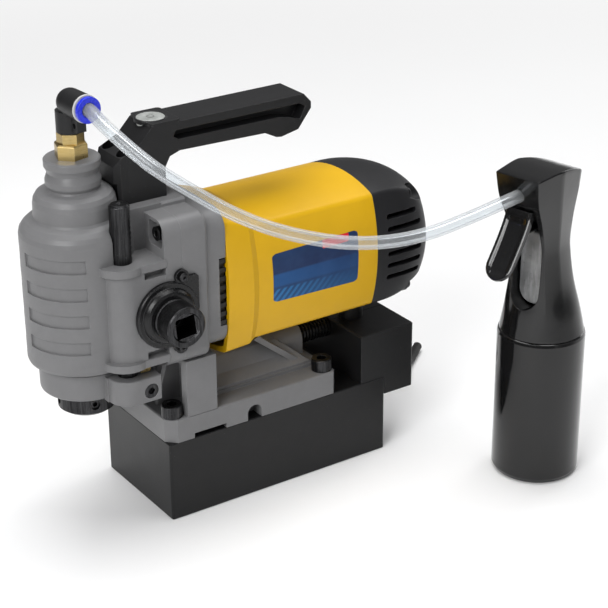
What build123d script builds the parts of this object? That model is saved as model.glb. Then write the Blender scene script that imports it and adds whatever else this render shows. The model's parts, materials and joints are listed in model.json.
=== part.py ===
from build123d import *
import math
import os

os.makedirs("parts", exist_ok=True)

# Magnetic drill: a holding magnet and base carry a gear case with an upright spindle at one end
# and a lying motor behind it. A coolant bottle stands beside it, joined by a hose.
# Millimetres. The origin is the centre of the magnet's holding face. +X runs from the spindle
# (front) to the motor tail (rear), -Y is the feed (operator) side, +Z is up.

# ================================================================ driving dimensions
MAGNET_LENGTH, MAGNET_WIDTH, MAGNET_HEIGHT = 160.0, 80.0, 52.0
BASE_TOP = 67.5
GAP = 0.03                 # running clearance on the radius

# tooth counts of the spur train; every gear here has the same module
MODULE = 1.0
MOTOR_TEETH, LAY_GEAR_TEETH = 8, 40
LAY_PINION_TEETH, BEVEL_SHAFT_TEETH = 14, 24
FEED_TEETH = 32
BEVEL_PINION_TEETH, BEVEL_WHEEL_TEETH = 10, 40

# axes
SPINDLE_X = -113.0
MOTOR_Z = 140.0
LAY_Z = MOTOR_Z + MODULE * (MOTOR_TEETH + LAY_GEAR_TEETH) / 2
BEVEL_Z = LAY_Z + MODULE * (LAY_PINION_TEETH + BEVEL_SHAFT_TEETH) / 2
ROD_X, ROD_Y = -101.0, -31.0
FEED_X, FEED_Z = -80.0, 140.3
# the same axes as points in the plane across each one
SPINDLE_AT = (SPINDLE_X, 0)
ROD_AT = (ROD_X, ROD_Y)
MOTOR_AT = (0, MOTOR_Z)
LAY_AT = (0, LAY_Z)
BEVEL_AT = (0, BEVEL_Z)
FEED_AT = (FEED_X, FEED_Z)
CONDUIT_AT = (0, 78.0)
SPINDLE_AXIS = Axis((SPINDLE_X, 0, 0), (0, 0, 1))

# spindle column and quill
COLUMN_R = 33.2
QUILL_R = 26.0
COLLAR_R = 27.1
ROD_R = 6.0

# gear case and motor, stations along X
CASE_X0, SPLIT_X, CASE_X1 = -80.0, -68.4, -51.0
FLANGE_X = -37.8           # rear end of the gear case
BAND_X0, BAND_X1 = -37.6, -20.0
CAP_X0 = 72.0
CASE_WIDTH, CASE_BOTTOM, CASE_TOP = 86.4, 104.0, 196.5
HANDLE_SEAT_Z = 199.6
GEAR_X, GEAR_WIDTH = -56.4, 9.0        # armature pinion and large layshaft gear
BEVEL_GEAR_X = -66.0                   # layshaft pinion and bevel shaft gear

# bearing outer radii, shared with their seats
SHAFT_R = 4.0
MOTOR_BEARING_R = 8.0
TAIL_BEARING_R = 11.0
LAY_FRONT_R, LAY_REAR_R = 8.0, 6.0
BEVEL_BEARING_R = 9.5
WHEEL_BEARING_R = 17.0
QUILL_BEARING_R = 21.0
ARBOR_R = 13.0

# feed drive
FEED_POCKET_R = 17.8
FEED_SHAFT_R = 8.0
FEED_HUB_BORE = 12.56

# control box
BOX_X0, BOX_X1, BOX_Z0, BOX_Z1 = 61.5, 103.0, 39.4, 84.5

# fastener places
BASE_SCREWS = [(x, y) for x in (-73.4, 35.5) for y in (-32.5, 32.5)]
HANDLE_SCREWS = [(-84.2, 8.4), (-84.2, -8.4)]                                 # x, y
COVER_SCREWS = [(-70.2, 162.2), (-72.2, 118.4)]                               # x, z
CASE_SCREWS = [(-33.5, 187.0), (34.5, 114.0), (34.5, 187.0)]                  # y, z
CAP_SCREWS = [(-29.5, 170.5), (29.5, 170.5), (-30.5, 109.5), (30.5, 109.5)]   # y, z


# ================================================================ helpers
# Amounts run along the plane's normal; a negative one runs against it.
def at_x(x):
    """Plane across X, drawn in (y, z), normal +X."""
    return Plane.YZ.offset(x)


def at_y(y):
    """Plane across Y, drawn in (x, z), normal -Y."""
    return Plane.XZ.offset(-y)


def at_z(z):
    """Plane across Z, drawn in (x, y), normal +Z."""
    return Plane.XY.offset(z)


def shapes(plane, places, shape, *sizes, **options):
    """Sketch of one shape repeated at the places, or at the plane's origin if there are none."""
    with BuildSketch(plane) as sketch:
        with Locations(*(places or [(0, 0)])):
            shape(*sizes, **options)
    return sketch.sketch


def outline(plane, points):
    """Sketch of one closed polygon."""
    with BuildSketch(plane) as sketch:
        with BuildLine():
            Polyline(*points, close=True)
        make_face()
    return sketch.sketch


def cylinders(plane, radius, amount, *places):
    """Add a cylinder at each place."""
    extrude(shapes(plane, places, Circle, radius), amount=amount)


def bores(plane, radius, amount, *places):
    """Cut a round hole at each place."""
    extrude(shapes(plane, places, Circle, radius), amount=amount, mode=Mode.SUBTRACT)


def rings(plane, outer, inner, amount, *places, mode=Mode.ADD):
    """Add or cut a ring of the two radii at each place."""
    with BuildSketch(plane) as sketch:
        with Locations(*(places or [(0, 0)])):
            Circle(outer)
            Circle(inner, mode=Mode.SUBTRACT)
    extrude(sketch.sketch, amount=amount, mode=mode)


def blocks(plane, width, height, amount, *places):
    """Add a box at each place, width by height in the plane."""
    extrude(shapes(plane, places, Rectangle, width, height), amount=amount)


def pockets(plane, width, height, amount, *places):
    """Cut a box at each place, width by height in the plane."""
    extrude(shapes(plane, places, Rectangle, width, height), amount=amount, mode=Mode.SUBTRACT)


def hex_sockets(plane, corner_radius, amount, *places):
    """Cut a hexagon socket at each place."""
    hexagons = shapes(plane, places, RegularPolygon, corner_radius, 6)
    extrude(hexagons, amount=amount, mode=Mode.SUBTRACT)


def prism(plane, points, amount, mode=Mode.ADD):
    """Add or cut an extruded polygon."""
    extrude(outline(plane, points), amount=amount, mode=mode)


def turn_z(x, y, points, mode=Mode.ADD):
    """Turn a (radius, z) profile about the upright axis through x, y."""
    profile = outline(at_y(y), [(x + radius, z) for radius, z in points])
    revolve(profile, axis=Axis((x, y, 0), (0, 0, 1)), mode=mode)


def turn_x(axis_z, points):
    """Turn an (x, radius) profile about the axis along X at y = 0 and height axis_z."""
    profile = outline(Plane.XZ, [(x, axis_z + radius) for x, radius in points])
    revolve(profile, axis=Axis((0, 0, axis_z), (1, 0, 0)))


def turn_feed(points, mode=Mode.ADD):
    """Turn a (radius, y) profile about the feed shaft's axis."""
    plane = Plane(origin=(FEED_X, 0, FEED_Z), x_dir=(1, 0, 0), z_dir=(0, 0, 1))
    revolve(outline(plane, points), axis=Axis((FEED_X, 0, FEED_Z), (0, 1, 0)), mode=mode)


def ring_section(plane, inner, outer, width):
    """Half section of one shielded ball bearing; its axis is the plane's own X axis."""
    shield = (outer - inner) * 0.24      # radial width of each race face
    half = width / 2
    recess = 0.5                         # the shields sit this far in
    profile = [                          # along the axis, radius
        (-half, inner), (-half, inner + shield), (-half + recess, inner + shield),
        (-half + recess, outer - shield), (-half, outer - shield), (-half, outer),
        (half, outer), (half, outer - shield), (half - recess, outer - shield),
        (half - recess, inner + shield), (half, inner + shield), (half, inner)]
    return outline(plane, profile)


def bearing_along_x(x, z, outer, width):
    """Add a bearing for a shaft of SHAFT_R along X, centred on x."""
    plane = Plane(origin=(x, 0, z), x_dir=(1, 0, 0), z_dir=(0, -1, 0))
    revolve(ring_section(plane, SHAFT_R + GAP, outer, width), axis=Axis((0, 0, z), (1, 0, 0)))


def spindle_bearing(z, shaft_radius, outer, width):
    """Add a bearing on the spindle axis, centred on z."""
    plane = Plane(origin=(SPINDLE_X, 0, z), x_dir=(0, 0, 1), z_dir=(0, 1, 0))
    revolve(ring_section(plane, shaft_radius + GAP, outer, width), axis=SPINDLE_AXIS)


PRESSURE_ANGLE = math.radians(20)
BACKLASH = 0.14


def involute(angle):
    return math.tan(angle) - angle


def gear_points(teeth, addendum=1.0, dedendum=1.25, steps=5):
    """Outline of one involute spur gear as a closed list of points, a tooth on +X."""
    pitch_r = MODULE * teeth / 2
    base_r = pitch_r * math.cos(PRESSURE_ANGLE)
    tip_r = pitch_r + addendum * MODULE
    root_r = pitch_r - dedendum * MODULE
    half = (math.pi * MODULE / 2 - BACKLASH) / (2 * pitch_r) + involute(PRESSURE_ANGLE)
    start_r = max(base_r, root_r)
    flank = []                           # radius, angle off the tooth's middle
    for i in range(steps + 1):
        r = start_r + (tip_r - start_r) * i / steps
        flank.append((r, half - involute(math.acos(min(1.0, base_r / r)))))
    if root_r < start_r - 1e-6:          # radial run below the base circle
        flank.insert(0, (root_r, flank[0][1]))
    points = []
    for k in range(teeth):
        middle = k * 2 * math.pi / teeth
        for r, angle in flank:
            points.append((r * math.cos(middle - angle), r * math.sin(middle - angle)))
        for r, angle in reversed(flank):
            points.append((r * math.cos(middle + angle), r * math.sin(middle + angle)))
    return points


def add_gear(plane, points, turn, width):
    """Add a spur gear on the plane (its Z is the gear axis), turned by turn degrees."""
    c, s = math.cos(math.radians(turn)), math.sin(math.radians(turn))
    prism(plane, [(x * c - y * s, x * s + y * c) for x, y in points], width)


def gear_plane(x, z):
    """Plane of a gear on an axis along X at height z."""
    return at_x(x).shift_origin((x, 0, z))


def write(block, label):
    block.part.label = label
    export_step(block.part, f"parts/{label}.step")


# ================================================================ magnet
GROOVE_OUTER, GROOVE_INNER = (134, 56, 10), (96, 26, 5)    # length, width, corner radius
COIL_OUTER, COIL_INNER = (131, 53, 9), (99, 29, 6)
COIL_Z, COIL_HEIGHT = 6.0, 28
POTTING_Z = 0.5


def racetrack(plane, outer, inner):
    with BuildSketch(plane) as sketch:
        RectangleRounded(*outer)
        RectangleRounded(*inner, mode=Mode.SUBTRACT)
    return sketch.sketch


with BuildPart() as magnet_block:
    blocks(Plane.XY, MAGNET_LENGTH, MAGNET_WIDTH, MAGNET_HEIGHT)
    fillet(magnet_block.edges().filter_by(Axis.Z), 1.6)
    chamfer(magnet_block.faces().sort_by(Axis.Z)[-1].edges(), 0.5)
    chamfer(magnet_block.faces().sort_by(Axis.Z)[0].edges(), 0.5)
    # coil groove between the outer poles and the centre pole
    extrude(racetrack(Plane.XY, GROOVE_OUTER, GROOVE_INNER), amount=36, mode=Mode.SUBTRACT)
    # holes for the base screws
    bores(at_z(MAGNET_HEIGHT), 4.0, -13, *BASE_SCREWS)
    # way for the coil leads up towards the control box
    bores(at_z(30), 3.0, 30, (64.0, 0))
    # pocket in the rear end
    pockets(at_z(40.2), 8.0, 60.0, 6, (78.0, 0))
write(magnet_block, "magnet_block")

with BuildPart() as magnet_coil:
    extrude(racetrack(at_z(COIL_Z), COIL_OUTER, COIL_INNER), amount=COIL_HEIGHT)
    fillet(magnet_coil.edges().group_by(Axis.Z)[-1], 2)
    fillet(magnet_coil.edges().group_by(Axis.Z)[0], 2)
write(magnet_coil, "magnet_coil")

with BuildPart() as magnet_potting:
    extrude(racetrack(at_z(POTTING_Z), GROOVE_OUTER, GROOVE_INNER), amount=COIL_Z - POTTING_Z)
write(magnet_potting, "magnet_potting")

# ================================================================ base casting
BASE_PLAN = [              # x, y
    (-80, -34), (-74, -40), (39.5, -40), (42.1, -37),
    (42.1, 37), (39.5, 40), (-74, 40), (-80, 34)]
CRADLE_SECTION = [         # y, z
    (-24.5, 69.0), (-24.5, 71.5), (-18, 77), (-12, 86), (-6, 91),
    (6, 91), (12, 86), (18, 77), (24.5, 71.5), (24.5, 69.0)]
CRADLE_END_CUT = [(-2.0, 100), (34.0, 69.7), (60, 69.7), (60, 100)]               # x, z
CRADLE_RIB = [(-8.0, 95.4), (27.5, 67.0), (33.5, 67.0), (-4.4, 96.8)]             # x, z
GUSSET = [                 # x, z
    (-74.5, BASE_TOP - 0.5), (-64.0, 100.5), (-57.8, 100.5), (-57.8, BASE_TOP - 0.5)]
GUSSET_WIDTH = 4.0
SLOT_X = -19.4             # chuck key slot

with BuildPart() as base_casting:
    prism(at_z(MAGNET_HEIGHT), BASE_PLAN, BASE_TOP - MAGNET_HEIGHT)
    chamfer(base_casting.faces().sort_by(Axis.Z)[-1].edges(), 0.7)
    # ledge and cradle under the motor
    blocks(at_z(BASE_TOP), 83, 51, 2.2, (-4.5, 0))
    prism(at_x(-46.5), CRADLE_SECTION, 80)
    # slanted rear end of the cradle, and the rib standing proud of it
    prism(at_y(60), CRADLE_END_CUT, 120, Mode.SUBTRACT)
    prism(at_y(22), CRADLE_RIB, 44)
    # round-topped boss that takes the cable conduit
    with BuildSketch(at_x(-10.0)):
        with Locations(CONDUIT_AT):
            Circle(10.5)
        with Locations((0, 72.0)):
            Rectangle(21.0, 12.0)
    extrude(amount=46)
    # column that carries the gear case
    blocks(at_z(BASE_TOP), 20.7, MAGNET_WIDTH, CASE_BOTTOM - BASE_TOP, (-56.35, 0))
    # open front bay of the column, with its two raking gussets
    pockets(at_z(BASE_TOP + 1.0), 9.0, 67, 31.5, (-62.5, 0))
    for y in (-16.0, 12.0):
        prism(at_y(y + GUSSET_WIDTH), GUSSET, GUSSET_WIDTH)
    # conduit way into the boss
    bores(at_x(26.0), 7.0, 11, CONDUIT_AT)
    # chuck key slot through both flanks
    for y in (40, -30):
        with BuildSketch(at_y(y)):
            with Locations((SLOT_X, 54.0)):
                Rectangle(10.2, 5.0)
            with Locations((SLOT_X, 56.4)):
                Circle(5.1)
        extrude(amount=10, mode=Mode.SUBTRACT)
    # relief across the underside below the column
    pockets(at_y(40), 22.6, 3.2, 80, (-51.2, 53.6))
    # clearance holes for the base screws
    bores(at_z(MAGNET_HEIGHT), 4.3, 20, *BASE_SCREWS)
write(base_casting, "base_casting")

with BuildPart() as base_screws:
    cylinders(at_z(BASE_TOP), 6.5, 8, *BASE_SCREWS)
    chamfer(base_screws.faces().group_by(Axis.Z)[-1].edges(), 0.6)
    hex_sockets(at_z(BASE_TOP + 8), 3.46, -4, *BASE_SCREWS)
    cylinders(at_z(BASE_TOP), 4.0, -27, *BASE_SCREWS)
write(base_screws, "base_screws")

# ================================================================ spindle housing (front)
COLUMN_PROFILE = [         # radius, z: body, shoulder and stepped neck
    (0, 107.0), (31.2, 107.0), (32.6, 107.8), (COLUMN_R, 109.6), (COLUMN_R, 187.0),
    (32.6, 189.6), (31.0, 192.0), (28.6, 194.2), (25.2, 195.8), (24.2, 197.2), (24.0, 204.6),
    (23.4, 207.6), (21.8, 210.2), (18.6, 211.6), (15.6, 212.2), (14.9, 213.4), (15.6, 214.6),
    (16.1, 215.6), (16.1, 218.6), (15.4, 220.6), (14.6, 222.6), (15.4, 224.8), (16.3, 226.4),
    (16.3, 230.2), (15.5, 231.0), (0, 231.0)]
COLUMN_BORES = [           # z, radius, height
    (100.0, QUILL_R + GAP, 84.0),      # quill
    (183.0, 22.4, 12.6),               # bevel wheel
    (195.0, WHEEL_BEARING_R, 12.5),    # bevel wheel bearing
    (207.0, 9.0, 14.0),                # seal
    (220.0, 6.5, 12.0)]                # coolant adapter
GRIP_ROWS = [176.0 - 16.9 * k for k in range(4)]
GRIP_ARCS = [(-144.5, 35.5), (130.0, 30.0)]    # middle angle, half arc


def case_outline(plane):
    """Rounded outline shared by the two halves of the gear case."""
    middle = (0, (CASE_BOTTOM + CASE_TOP) / 2)
    return shapes(plane, [middle], RectangleRounded, CASE_WIDTH, CASE_TOP - CASE_BOTTOM, 9.0)


with BuildPart() as spindle_housing:
    turn_z(SPINDLE_X, 0, COLUMN_PROFILE)
    # shallow grip slots in four rows on each front quarter, cut both ways from the middle
    for middle, half_arc in GRIP_ARCS:
        c, s = math.cos(math.radians(middle)), math.sin(math.radians(middle))
        for arc in (half_arc, -half_arc):
            with BuildSketch(Plane((SPINDLE_X, 0, 0), x_dir=(c, s, 0), z_dir=(s, -c, 0))):
                for z in GRIP_ROWS:
                    with Locations((COLUMN_R + 2.6, z)):
                        Trapezoid(8.4, 7.4, 80, rotation=-90)
            revolve(axis=SPINDLE_AXIS, revolution_arc=arc, mode=Mode.SUBTRACT)
    # neck block between the column and the gear case, and the handle seat on it
    blocks(at_z(107.0), 31.6, 49, 85.0, (-84.2, 3.5))
    blocks(at_z(187.0), 30.6, 42, HANDLE_SEAT_Z - 187.0, (-83.7, 0))
    # front flange of the gear case
    extrude(case_outline(at_x(CASE_X0)), amount=SPLIT_X - CASE_X0)
    # rack bracket: round boss and web
    with BuildSketch(at_z(110.4)):
        with Locations(ROD_AT):
            Circle(12.0)
        with Locations((-90.0, -30.5)):
            Rectangle(22.0, 25.0)
    extrude(amount=61.6)
    # its slightly proud bottom and top plates
    for z in (110.0, 169.4):
        with BuildSketch(at_z(z)):
            with Locations((ROD_X - 1.2, ROD_Y)):
                Circle(14.3)
            with Locations((-90.0, -30.2)):
                Rectangle(22.0, 26.8)
            with Locations((-101.5, -20.0)):
                Rectangle(27.0, 18.0)
        extrude(amount=4.6)
    # web behind the boss carries on down past the column's lower edge
    blocks(at_z(106.0), 12.0, 16.0, 6.0, (-85.0, -26.0))
    # recesses in the web under the top plate and over the bottom plate
    pockets(at_y(-38.0), 14.0, 4.4, 8, (-86.2, 167.1), (-86.2, 117.0))
    # pocket for the upper case screw on the -Y side
    screw_pocket = shapes(at_x(CASE_X0 - 0.2), CASE_SCREWS[:1], RectangleRounded, 15.0, 15.0, 3.0)
    extrude(screw_pocket, amount=5.5, mode=Mode.SUBTRACT)
    # --- inside
    for z, radius, height in COLUMN_BORES:
        bores(at_z(z), radius, height, SPINDLE_AT)
    # rack rod bore
    bores(at_z(100.0), ROD_R + GAP, 80, ROD_AT)
    bores(at_z(174.0), 6.25, 40, ROD_AT)
    # feed gear pocket and the inner bearing bore of the feed shaft
    bores(at_y(-25.0), FEED_POCKET_R, 25.0, FEED_AT)
    bores(at_y(-14.0), FEED_SHAFT_R + GAP, 12.0, FEED_AT)
    # guide pad slot under the bracket
    pockets(at_z(100.0), 6.6, 10.0, 13.0, (-91.6, -31.0))
    # bevel pinion way, its bearing seat, and the front seat of the layshaft
    bores(at_x(-104.0), 7.2, 20.0, BEVEL_AT)
    bores(at_x(-85.0), BEVEL_BEARING_R, 17.0, BEVEL_AT)
    bores(at_x(-77.0), LAY_FRONT_R, 9.0, LAY_AT)
    # case screw holes, two of them counterbored
    bores(at_x(-81.0), 4.6, 6.5, *CASE_SCREWS[1:])
    bores(at_x(-76.0), 2.7, 8.0, *CASE_SCREWS)
    # holes for the feed cover screws and handle screws
    bores(at_y(-32.0), 1.5, 14.0, *COVER_SCREWS)
    bores(at_z(192.6), 2.5, 14.0, *HANDLE_SCREWS)
write(spindle_housing, "spindle_housing")

# ================================================================ gear case (rear casting)
with BuildPart() as gear_case:
    extrude(case_outline(at_x(SPLIT_X)), amount=CASE_X1 - SPLIT_X)
    fillet(gear_case.edges().group_by(Axis.X)[-1], 2.5)
    rear_outline = shapes(at_x(CASE_X1 - 4), [(0, 150.4)], RectangleRounded, 81.0, 86.0, 12.0)
    extrude(rear_outline, amount=FLANGE_X - CASE_X1 + 4)
    # handle seat
    blocks(at_z(190.0), 16.0, 42, HANDLE_SEAT_Z - 190.0, (-60.4, 0))
    chamfer(gear_case.faces().sort_by(Axis.Z)[-1].edges().filter_by(Axis.X), 1.2)
    # gear chamber
    chamber = shapes(at_x(SPLIT_X), [(0, 153.7)], RectangleRounded, 46.4, 68.6, 6.0)
    extrude(chamber, amount=23.0, mode=Mode.SUBTRACT)
    bores(at_x(SPLIT_X), 14.0, 11.4, BEVEL_AT)
    # fan chamber
    bores(at_x(-42.0), 34.5, 6.0, MOTOR_AT)
    # seats of the armature and layshaft bearings in the rear wall
    bores(at_x(-46.0), MOTOR_BEARING_R, 5.0, MOTOR_AT)
    bores(at_x(-46.0), LAY_REAR_R, 3.6, LAY_AT)
    # window for the vent grille on both flanks
    pockets(at_x(-42.4), 12.0, 43.4, 6.0, (-38.0, 143.0), (38.0, 143.0))
    # feed gear pocket
    bores(at_y(-25.0), FEED_POCKET_R, 25.0, FEED_AT)
    # case screw holes, from the split
    bores(at_x(SPLIT_X), 2.5, 10.0, *CASE_SCREWS)
write(gear_case, "gear_case")

CASE_HEAD_X, CASE_HEAD_HEIGHT = -79.6, 4.9
with BuildPart() as case_screws:
    cylinders(at_x(CASE_HEAD_X), 4.2, CASE_HEAD_HEIGHT, *CASE_SCREWS)
    hex_sockets(at_x(CASE_HEAD_X), 2.3, 2.6, *CASE_SCREWS)
    cylinders(at_x(CASE_HEAD_X + CASE_HEAD_HEIGHT), 2.5, 15.0, *CASE_SCREWS)
write(case_screws, "case_screws")

# back plate and eight bars on each flank
VENT_X, VENT_DEPTH, BAR_PITCH = -42.4, 4.4, 5.6
with BuildPart() as vent_grille:
    for side in (-1, 1):
        blocks(at_x(VENT_X), 4.4, 43.0, VENT_DEPTH, (side * 36.6, 143.0))
        for k in range(8):
            blocks(at_x(VENT_X), 3.0, 2.6, VENT_DEPTH, (side * 39.0, 123.4 + BAR_PITCH * k))
write(vent_grille, "vent_grille")


# ================================================================ motor housing
def motor_section(plane, shoulder_y, shoulder_z, top, side, floor_y, floor_z, bottom, corner):
    """Closed section of the motor shell: crowned top, bowed sides, shallow floor."""
    middle = (shoulder_z + floor_z) / 2
    with BuildSketch(plane) as sketch:
        with BuildLine():
            ThreePointArc((-shoulder_y, shoulder_z), (0, top), (shoulder_y, shoulder_z))
            ThreePointArc((shoulder_y, shoulder_z), (side, middle), (floor_y, floor_z))
            ThreePointArc((floor_y, floor_z), (0, bottom), (-floor_y, floor_z))
            ThreePointArc((-floor_y, floor_z), (-side, middle), (-shoulder_y, shoulder_z))
        make_face()
        fillet(sketch.vertices(), corner)
    return sketch.sketch.face()


# columns as in motor_section, after the plane
SHELL = (34.6, 177.8, 184.5, 41.5, 35.2, 104.0, 98.2, 5.0)
SHELL_INSIDE = (32.0, 175.0, 181.6, 38.7, 32.6, 106.8, 101.0, 4.0)
BAND_FRONT = (37.6, 186.4, 193.0, 43.4, 37.6, 101.2, 95.6, 5.0)
BAND_REAR = (36.4, 181.4, 187.8, 43.0, 37.2, 102.0, 96.0, 5.0)
BAND_INSIDE = (34.8, 178.4, 184.6, 40.0, 34.8, 104.2, 98.6, 4.0)
SHELL_X0 = BAND_X1 + 4.4
STATOR_X0, STATOR_LENGTH = -13.0, 52.0

with BuildPart() as motor_housing:
    loft(sections=[motor_section(at_x(BAND_X0), *BAND_FRONT),
                   motor_section(at_x(BAND_X1), *BAND_REAR)])
    loft(sections=[motor_section(at_x(BAND_X1), *BAND_REAR),
                   motor_section(at_x(SHELL_X0), *SHELL)])
    extrude(motor_section(at_x(SHELL_X0), *SHELL), amount=CAP_X0 - BAND_X1 - 4.4)
    # inside: fan chamber, stator land and brush chamber
    extrude(motor_section(at_x(BAND_X0), *BAND_INSIDE), amount=14.6, mode=Mode.SUBTRACT)
    bores(at_x(-24.0), 34.0, 100.0, MOTOR_AT)
    bores(at_x(STATOR_X0), 36.0, 90.0, MOTOR_AT)
    extrude(motor_section(at_x(42.0), *SHELL_INSIDE), amount=31.0, mode=Mode.SUBTRACT)
write(motor_housing, "motor_housing")

# sections of the end cap: distance behind CAP_X0, section
CAP_OUTSIDE = [
    (0, SHELL),
    (23, (34.0, 176.6, 183.0, 41.0, 34.8, 105.6, 100.2, 5.0)),
    (37, (30.6, 171.6, 178.0, 38.6, 31.6, 110.0, 105.4, 7.0)),
    (46, (21.0, 163.0, 168.6, 30.5, 23.0, 116.0, 112.6, 9.0))]
CAP_INSIDE = [
    (0, SHELL_INSIDE),
    (20, (31.0, 173.6, 180.0, 38.0, 31.8, 108.6, 103.2, 4.0)),
    (33, (26.6, 167.0, 173.4, 34.0, 27.0, 114.0, 109.4, 4.0))]
COOLING_X0 = 80.6          # front end of the cooling slots
CAP_HEAD_X, CAP_HEAD_HEIGHT = 101.0, 3.0


def cap_sections(rows):
    return [motor_section(at_x(CAP_X0 + behind), *section) for behind, section in rows]


with BuildPart() as end_cap:
    loft(sections=cap_sections(CAP_OUTSIDE))
    loft(sections=cap_sections(CAP_INSIDE[:2]), mode=Mode.SUBTRACT)
    loft(sections=cap_sections(CAP_INSIDE[1:]), mode=Mode.SUBTRACT)
    # tail bearing boss on crossed ribs
    cylinders(at_x(78.0), 14.0, 32.0, MOTOR_AT)
    with BuildSketch(at_x(88.0)):
        with Locations(MOTOR_AT):
            Rectangle(73.0, 3.0)
            Rectangle(3.0, 70.0)
    extrude(amount=12.0)
    bores(at_x(77.0), TAIL_BEARING_R, 9.0, MOTOR_AT)
    bores(at_x(77.0), 7.0, 14.0, MOTOR_AT)
    # cooling slots in both sides; the top row is shorter
    for row in range(6):
        slot_end = 104.6 if row == 0 else 108.0
        place = ((COOLING_X0 + slot_end) / 2, 161.9 - 8.1 * row)
        for side in (1, -1):
            slot = shapes(at_y(-side * 31.0), [place], SlotOverall, slot_end - COOLING_X0, 3.4)
            extrude(slot, amount=side * 14.0, mode=Mode.SUBTRACT)
    # screw pockets and pillars at the four corners
    bores(at_x(CAP_HEAD_X), 6.0, 30.0, *CAP_SCREWS)
    cylinders(at_x(CAP_X0 + 1), 4.6, 28.0, *CAP_SCREWS)
    bores(at_x(CAP_X0 - 1), 2.2, 32.0, *CAP_SCREWS)
write(end_cap, "end_cap")

with BuildPart() as end_cap_screws:
    cylinders(at_x(CAP_HEAD_X), 3.8, CAP_HEAD_HEIGHT, *CAP_SCREWS)
    fillet(end_cap_screws.faces().group_by(Axis.X)[-1].edges(), 1.0)
    # cross slot
    with BuildSketch(at_x(CAP_HEAD_X + CAP_HEAD_HEIGHT)):
        with Locations(*CAP_SCREWS):
            Rectangle(4.2, 1.1)
            Rectangle(1.1, 4.2)
    extrude(amount=-1.8, mode=Mode.SUBTRACT)
    cylinders(at_x(CAP_HEAD_X), 2.1, -28.0, *CAP_SCREWS)
write(end_cap_screws, "end_cap_screws")

# ================================================================ motor internals
ARMATURE_R = 5.0           # shaft through the core, commutator and fan
COMMUTATOR_R = 12.0
BRUSH_X = 58.0

with BuildPart() as stator_core:
    with BuildSketch(at_x(STATOR_X0)):
        with Locations(MOTOR_AT):
            Circle(35.97)
            Circle(22.3, mode=Mode.SUBTRACT)
        with Locations((0, MOTOR_Z + 24.5), (0, MOTOR_Z - 24.5)):
            Rectangle(30.0, 5.0, mode=Mode.SUBTRACT)
    extrude(amount=STATOR_LENGTH)
write(stator_core, "stator_core")

with BuildPart() as field_windings:
    for x in (-20.0, 39.4):
        rings(at_x(x), 33.0, 23.5, 6.6, MOTOR_AT)
    fillet(field_windings.edges(), 2.0)
write(field_windings, "field_windings")

ARMATURE_STEPS = [         # x, radius, length
    (-47.5, 3.2, 2.0), (-45.9, SHAFT_R, 16.0), (-30.0, ARMATURE_R, 106.0),
    (76.0, SHAFT_R, 10.0)]
MOTOR_PINION = gear_points(MOTOR_TEETH, addendum=1.15, dedendum=0.8)

with BuildPart() as armature_shaft:
    add_gear(gear_plane(GEAR_X, MOTOR_Z), MOTOR_PINION, 90.0, GEAR_WIDTH)
    for x, radius, length in ARMATURE_STEPS:
        cylinders(at_x(x), radius, length, MOTOR_AT)
write(armature_shaft, "armature_shaft")

with BuildPart() as armature_core:
    # the twelve slots lie inside the disc here, so they add nothing to it
    with BuildSketch(at_x(STATOR_X0)):
        with Locations(MOTOR_AT):
            Circle(21.7)
            with PolarLocations(18.4, 12):
                SlotOverall(7.0, 2.6)
            Circle(ARMATURE_R, mode=Mode.SUBTRACT)
    extrude(amount=STATOR_LENGTH)
write(armature_core, "armature_core")

with BuildPart() as armature_windings:
    for x, width in ((-20.4, 7.3), (39.1, 8.3)):
        rings(at_x(x), 19.5, 6.6, width, MOTOR_AT)
    fillet(armature_windings.edges(), 2.4)
write(armature_windings, "armature_windings")

with BuildPart() as commutator:
    rings(at_x(50.0), COMMUTATOR_R, ARMATURE_R, 16.0, MOTOR_AT)
    # grooves between the segments
    with BuildSketch(at_x(50.0)):
        with Locations(MOTOR_AT):
            with PolarLocations(COMMUTATOR_R, 24):
                Rectangle(1.4, 0.5)
    extrude(amount=16.0, mode=Mode.SUBTRACT)
write(commutator, "commutator")

with BuildPart() as cooling_fan:
    # disc, hub and blades
    rings(at_x(-35.0), 32.0, ARMATURE_R, 2.0, MOTOR_AT)
    rings(at_x(-35.0), 9.0, ARMATURE_R, 10.0, MOTOR_AT)
    with BuildSketch(at_x(-33.2)):
        with Locations(MOTOR_AT):
            with PolarLocations(21.0, 11):
                Rectangle(20.0, 1.8)
    extrude(amount=8.2)
write(cooling_fan, "cooling_fan")

with BuildPart() as brush_holders:
    for side in (-1, 1):
        with BuildSketch(at_y(-side * 13.2)):
            with Locations((BRUSH_X, MOTOR_Z)):
                Rectangle(11.0, 9.0)
                Rectangle(8.2, 6.2, mode=Mode.SUBTRACT)
        extrude(amount=side * 24.6)
write(brush_holders, "brush_holders")

with BuildPart() as carbon_brushes:
    for side in (-1, 1):
        blocks(at_y(-side * (COMMUTATOR_R + 0.05)), 8.0, 6.0, side * 15.0, (BRUSH_X, MOTOR_Z))
write(carbon_brushes, "carbon_brushes")

# ================================================================ reduction gearing
# a driven gear is turned half a tooth from straight down, to mesh with the one below
LAY_GEAR = gear_points(LAY_GEAR_TEETH, addendum=0.5, dedendum=1.5)
LAY_PINION = gear_points(LAY_PINION_TEETH)
BEVEL_SHAFT_GEAR = gear_points(BEVEL_SHAFT_TEETH)

with BuildPart() as layshaft:
    cylinders(at_x(-76.4), SHAFT_R, 33.6, LAY_AT)
    add_gear(gear_plane(BEVEL_GEAR_X, LAY_Z), LAY_PINION, 90.0, 8.6)
    add_gear(gear_plane(GEAR_X, LAY_Z), LAY_GEAR, 180 / LAY_GEAR_TEETH - 90, GEAR_WIDTH)
    rings(at_x(GEAR_X), 17.0, 7.0, 2.0, LAY_AT, mode=Mode.SUBTRACT)
write(layshaft, "layshaft")

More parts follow.
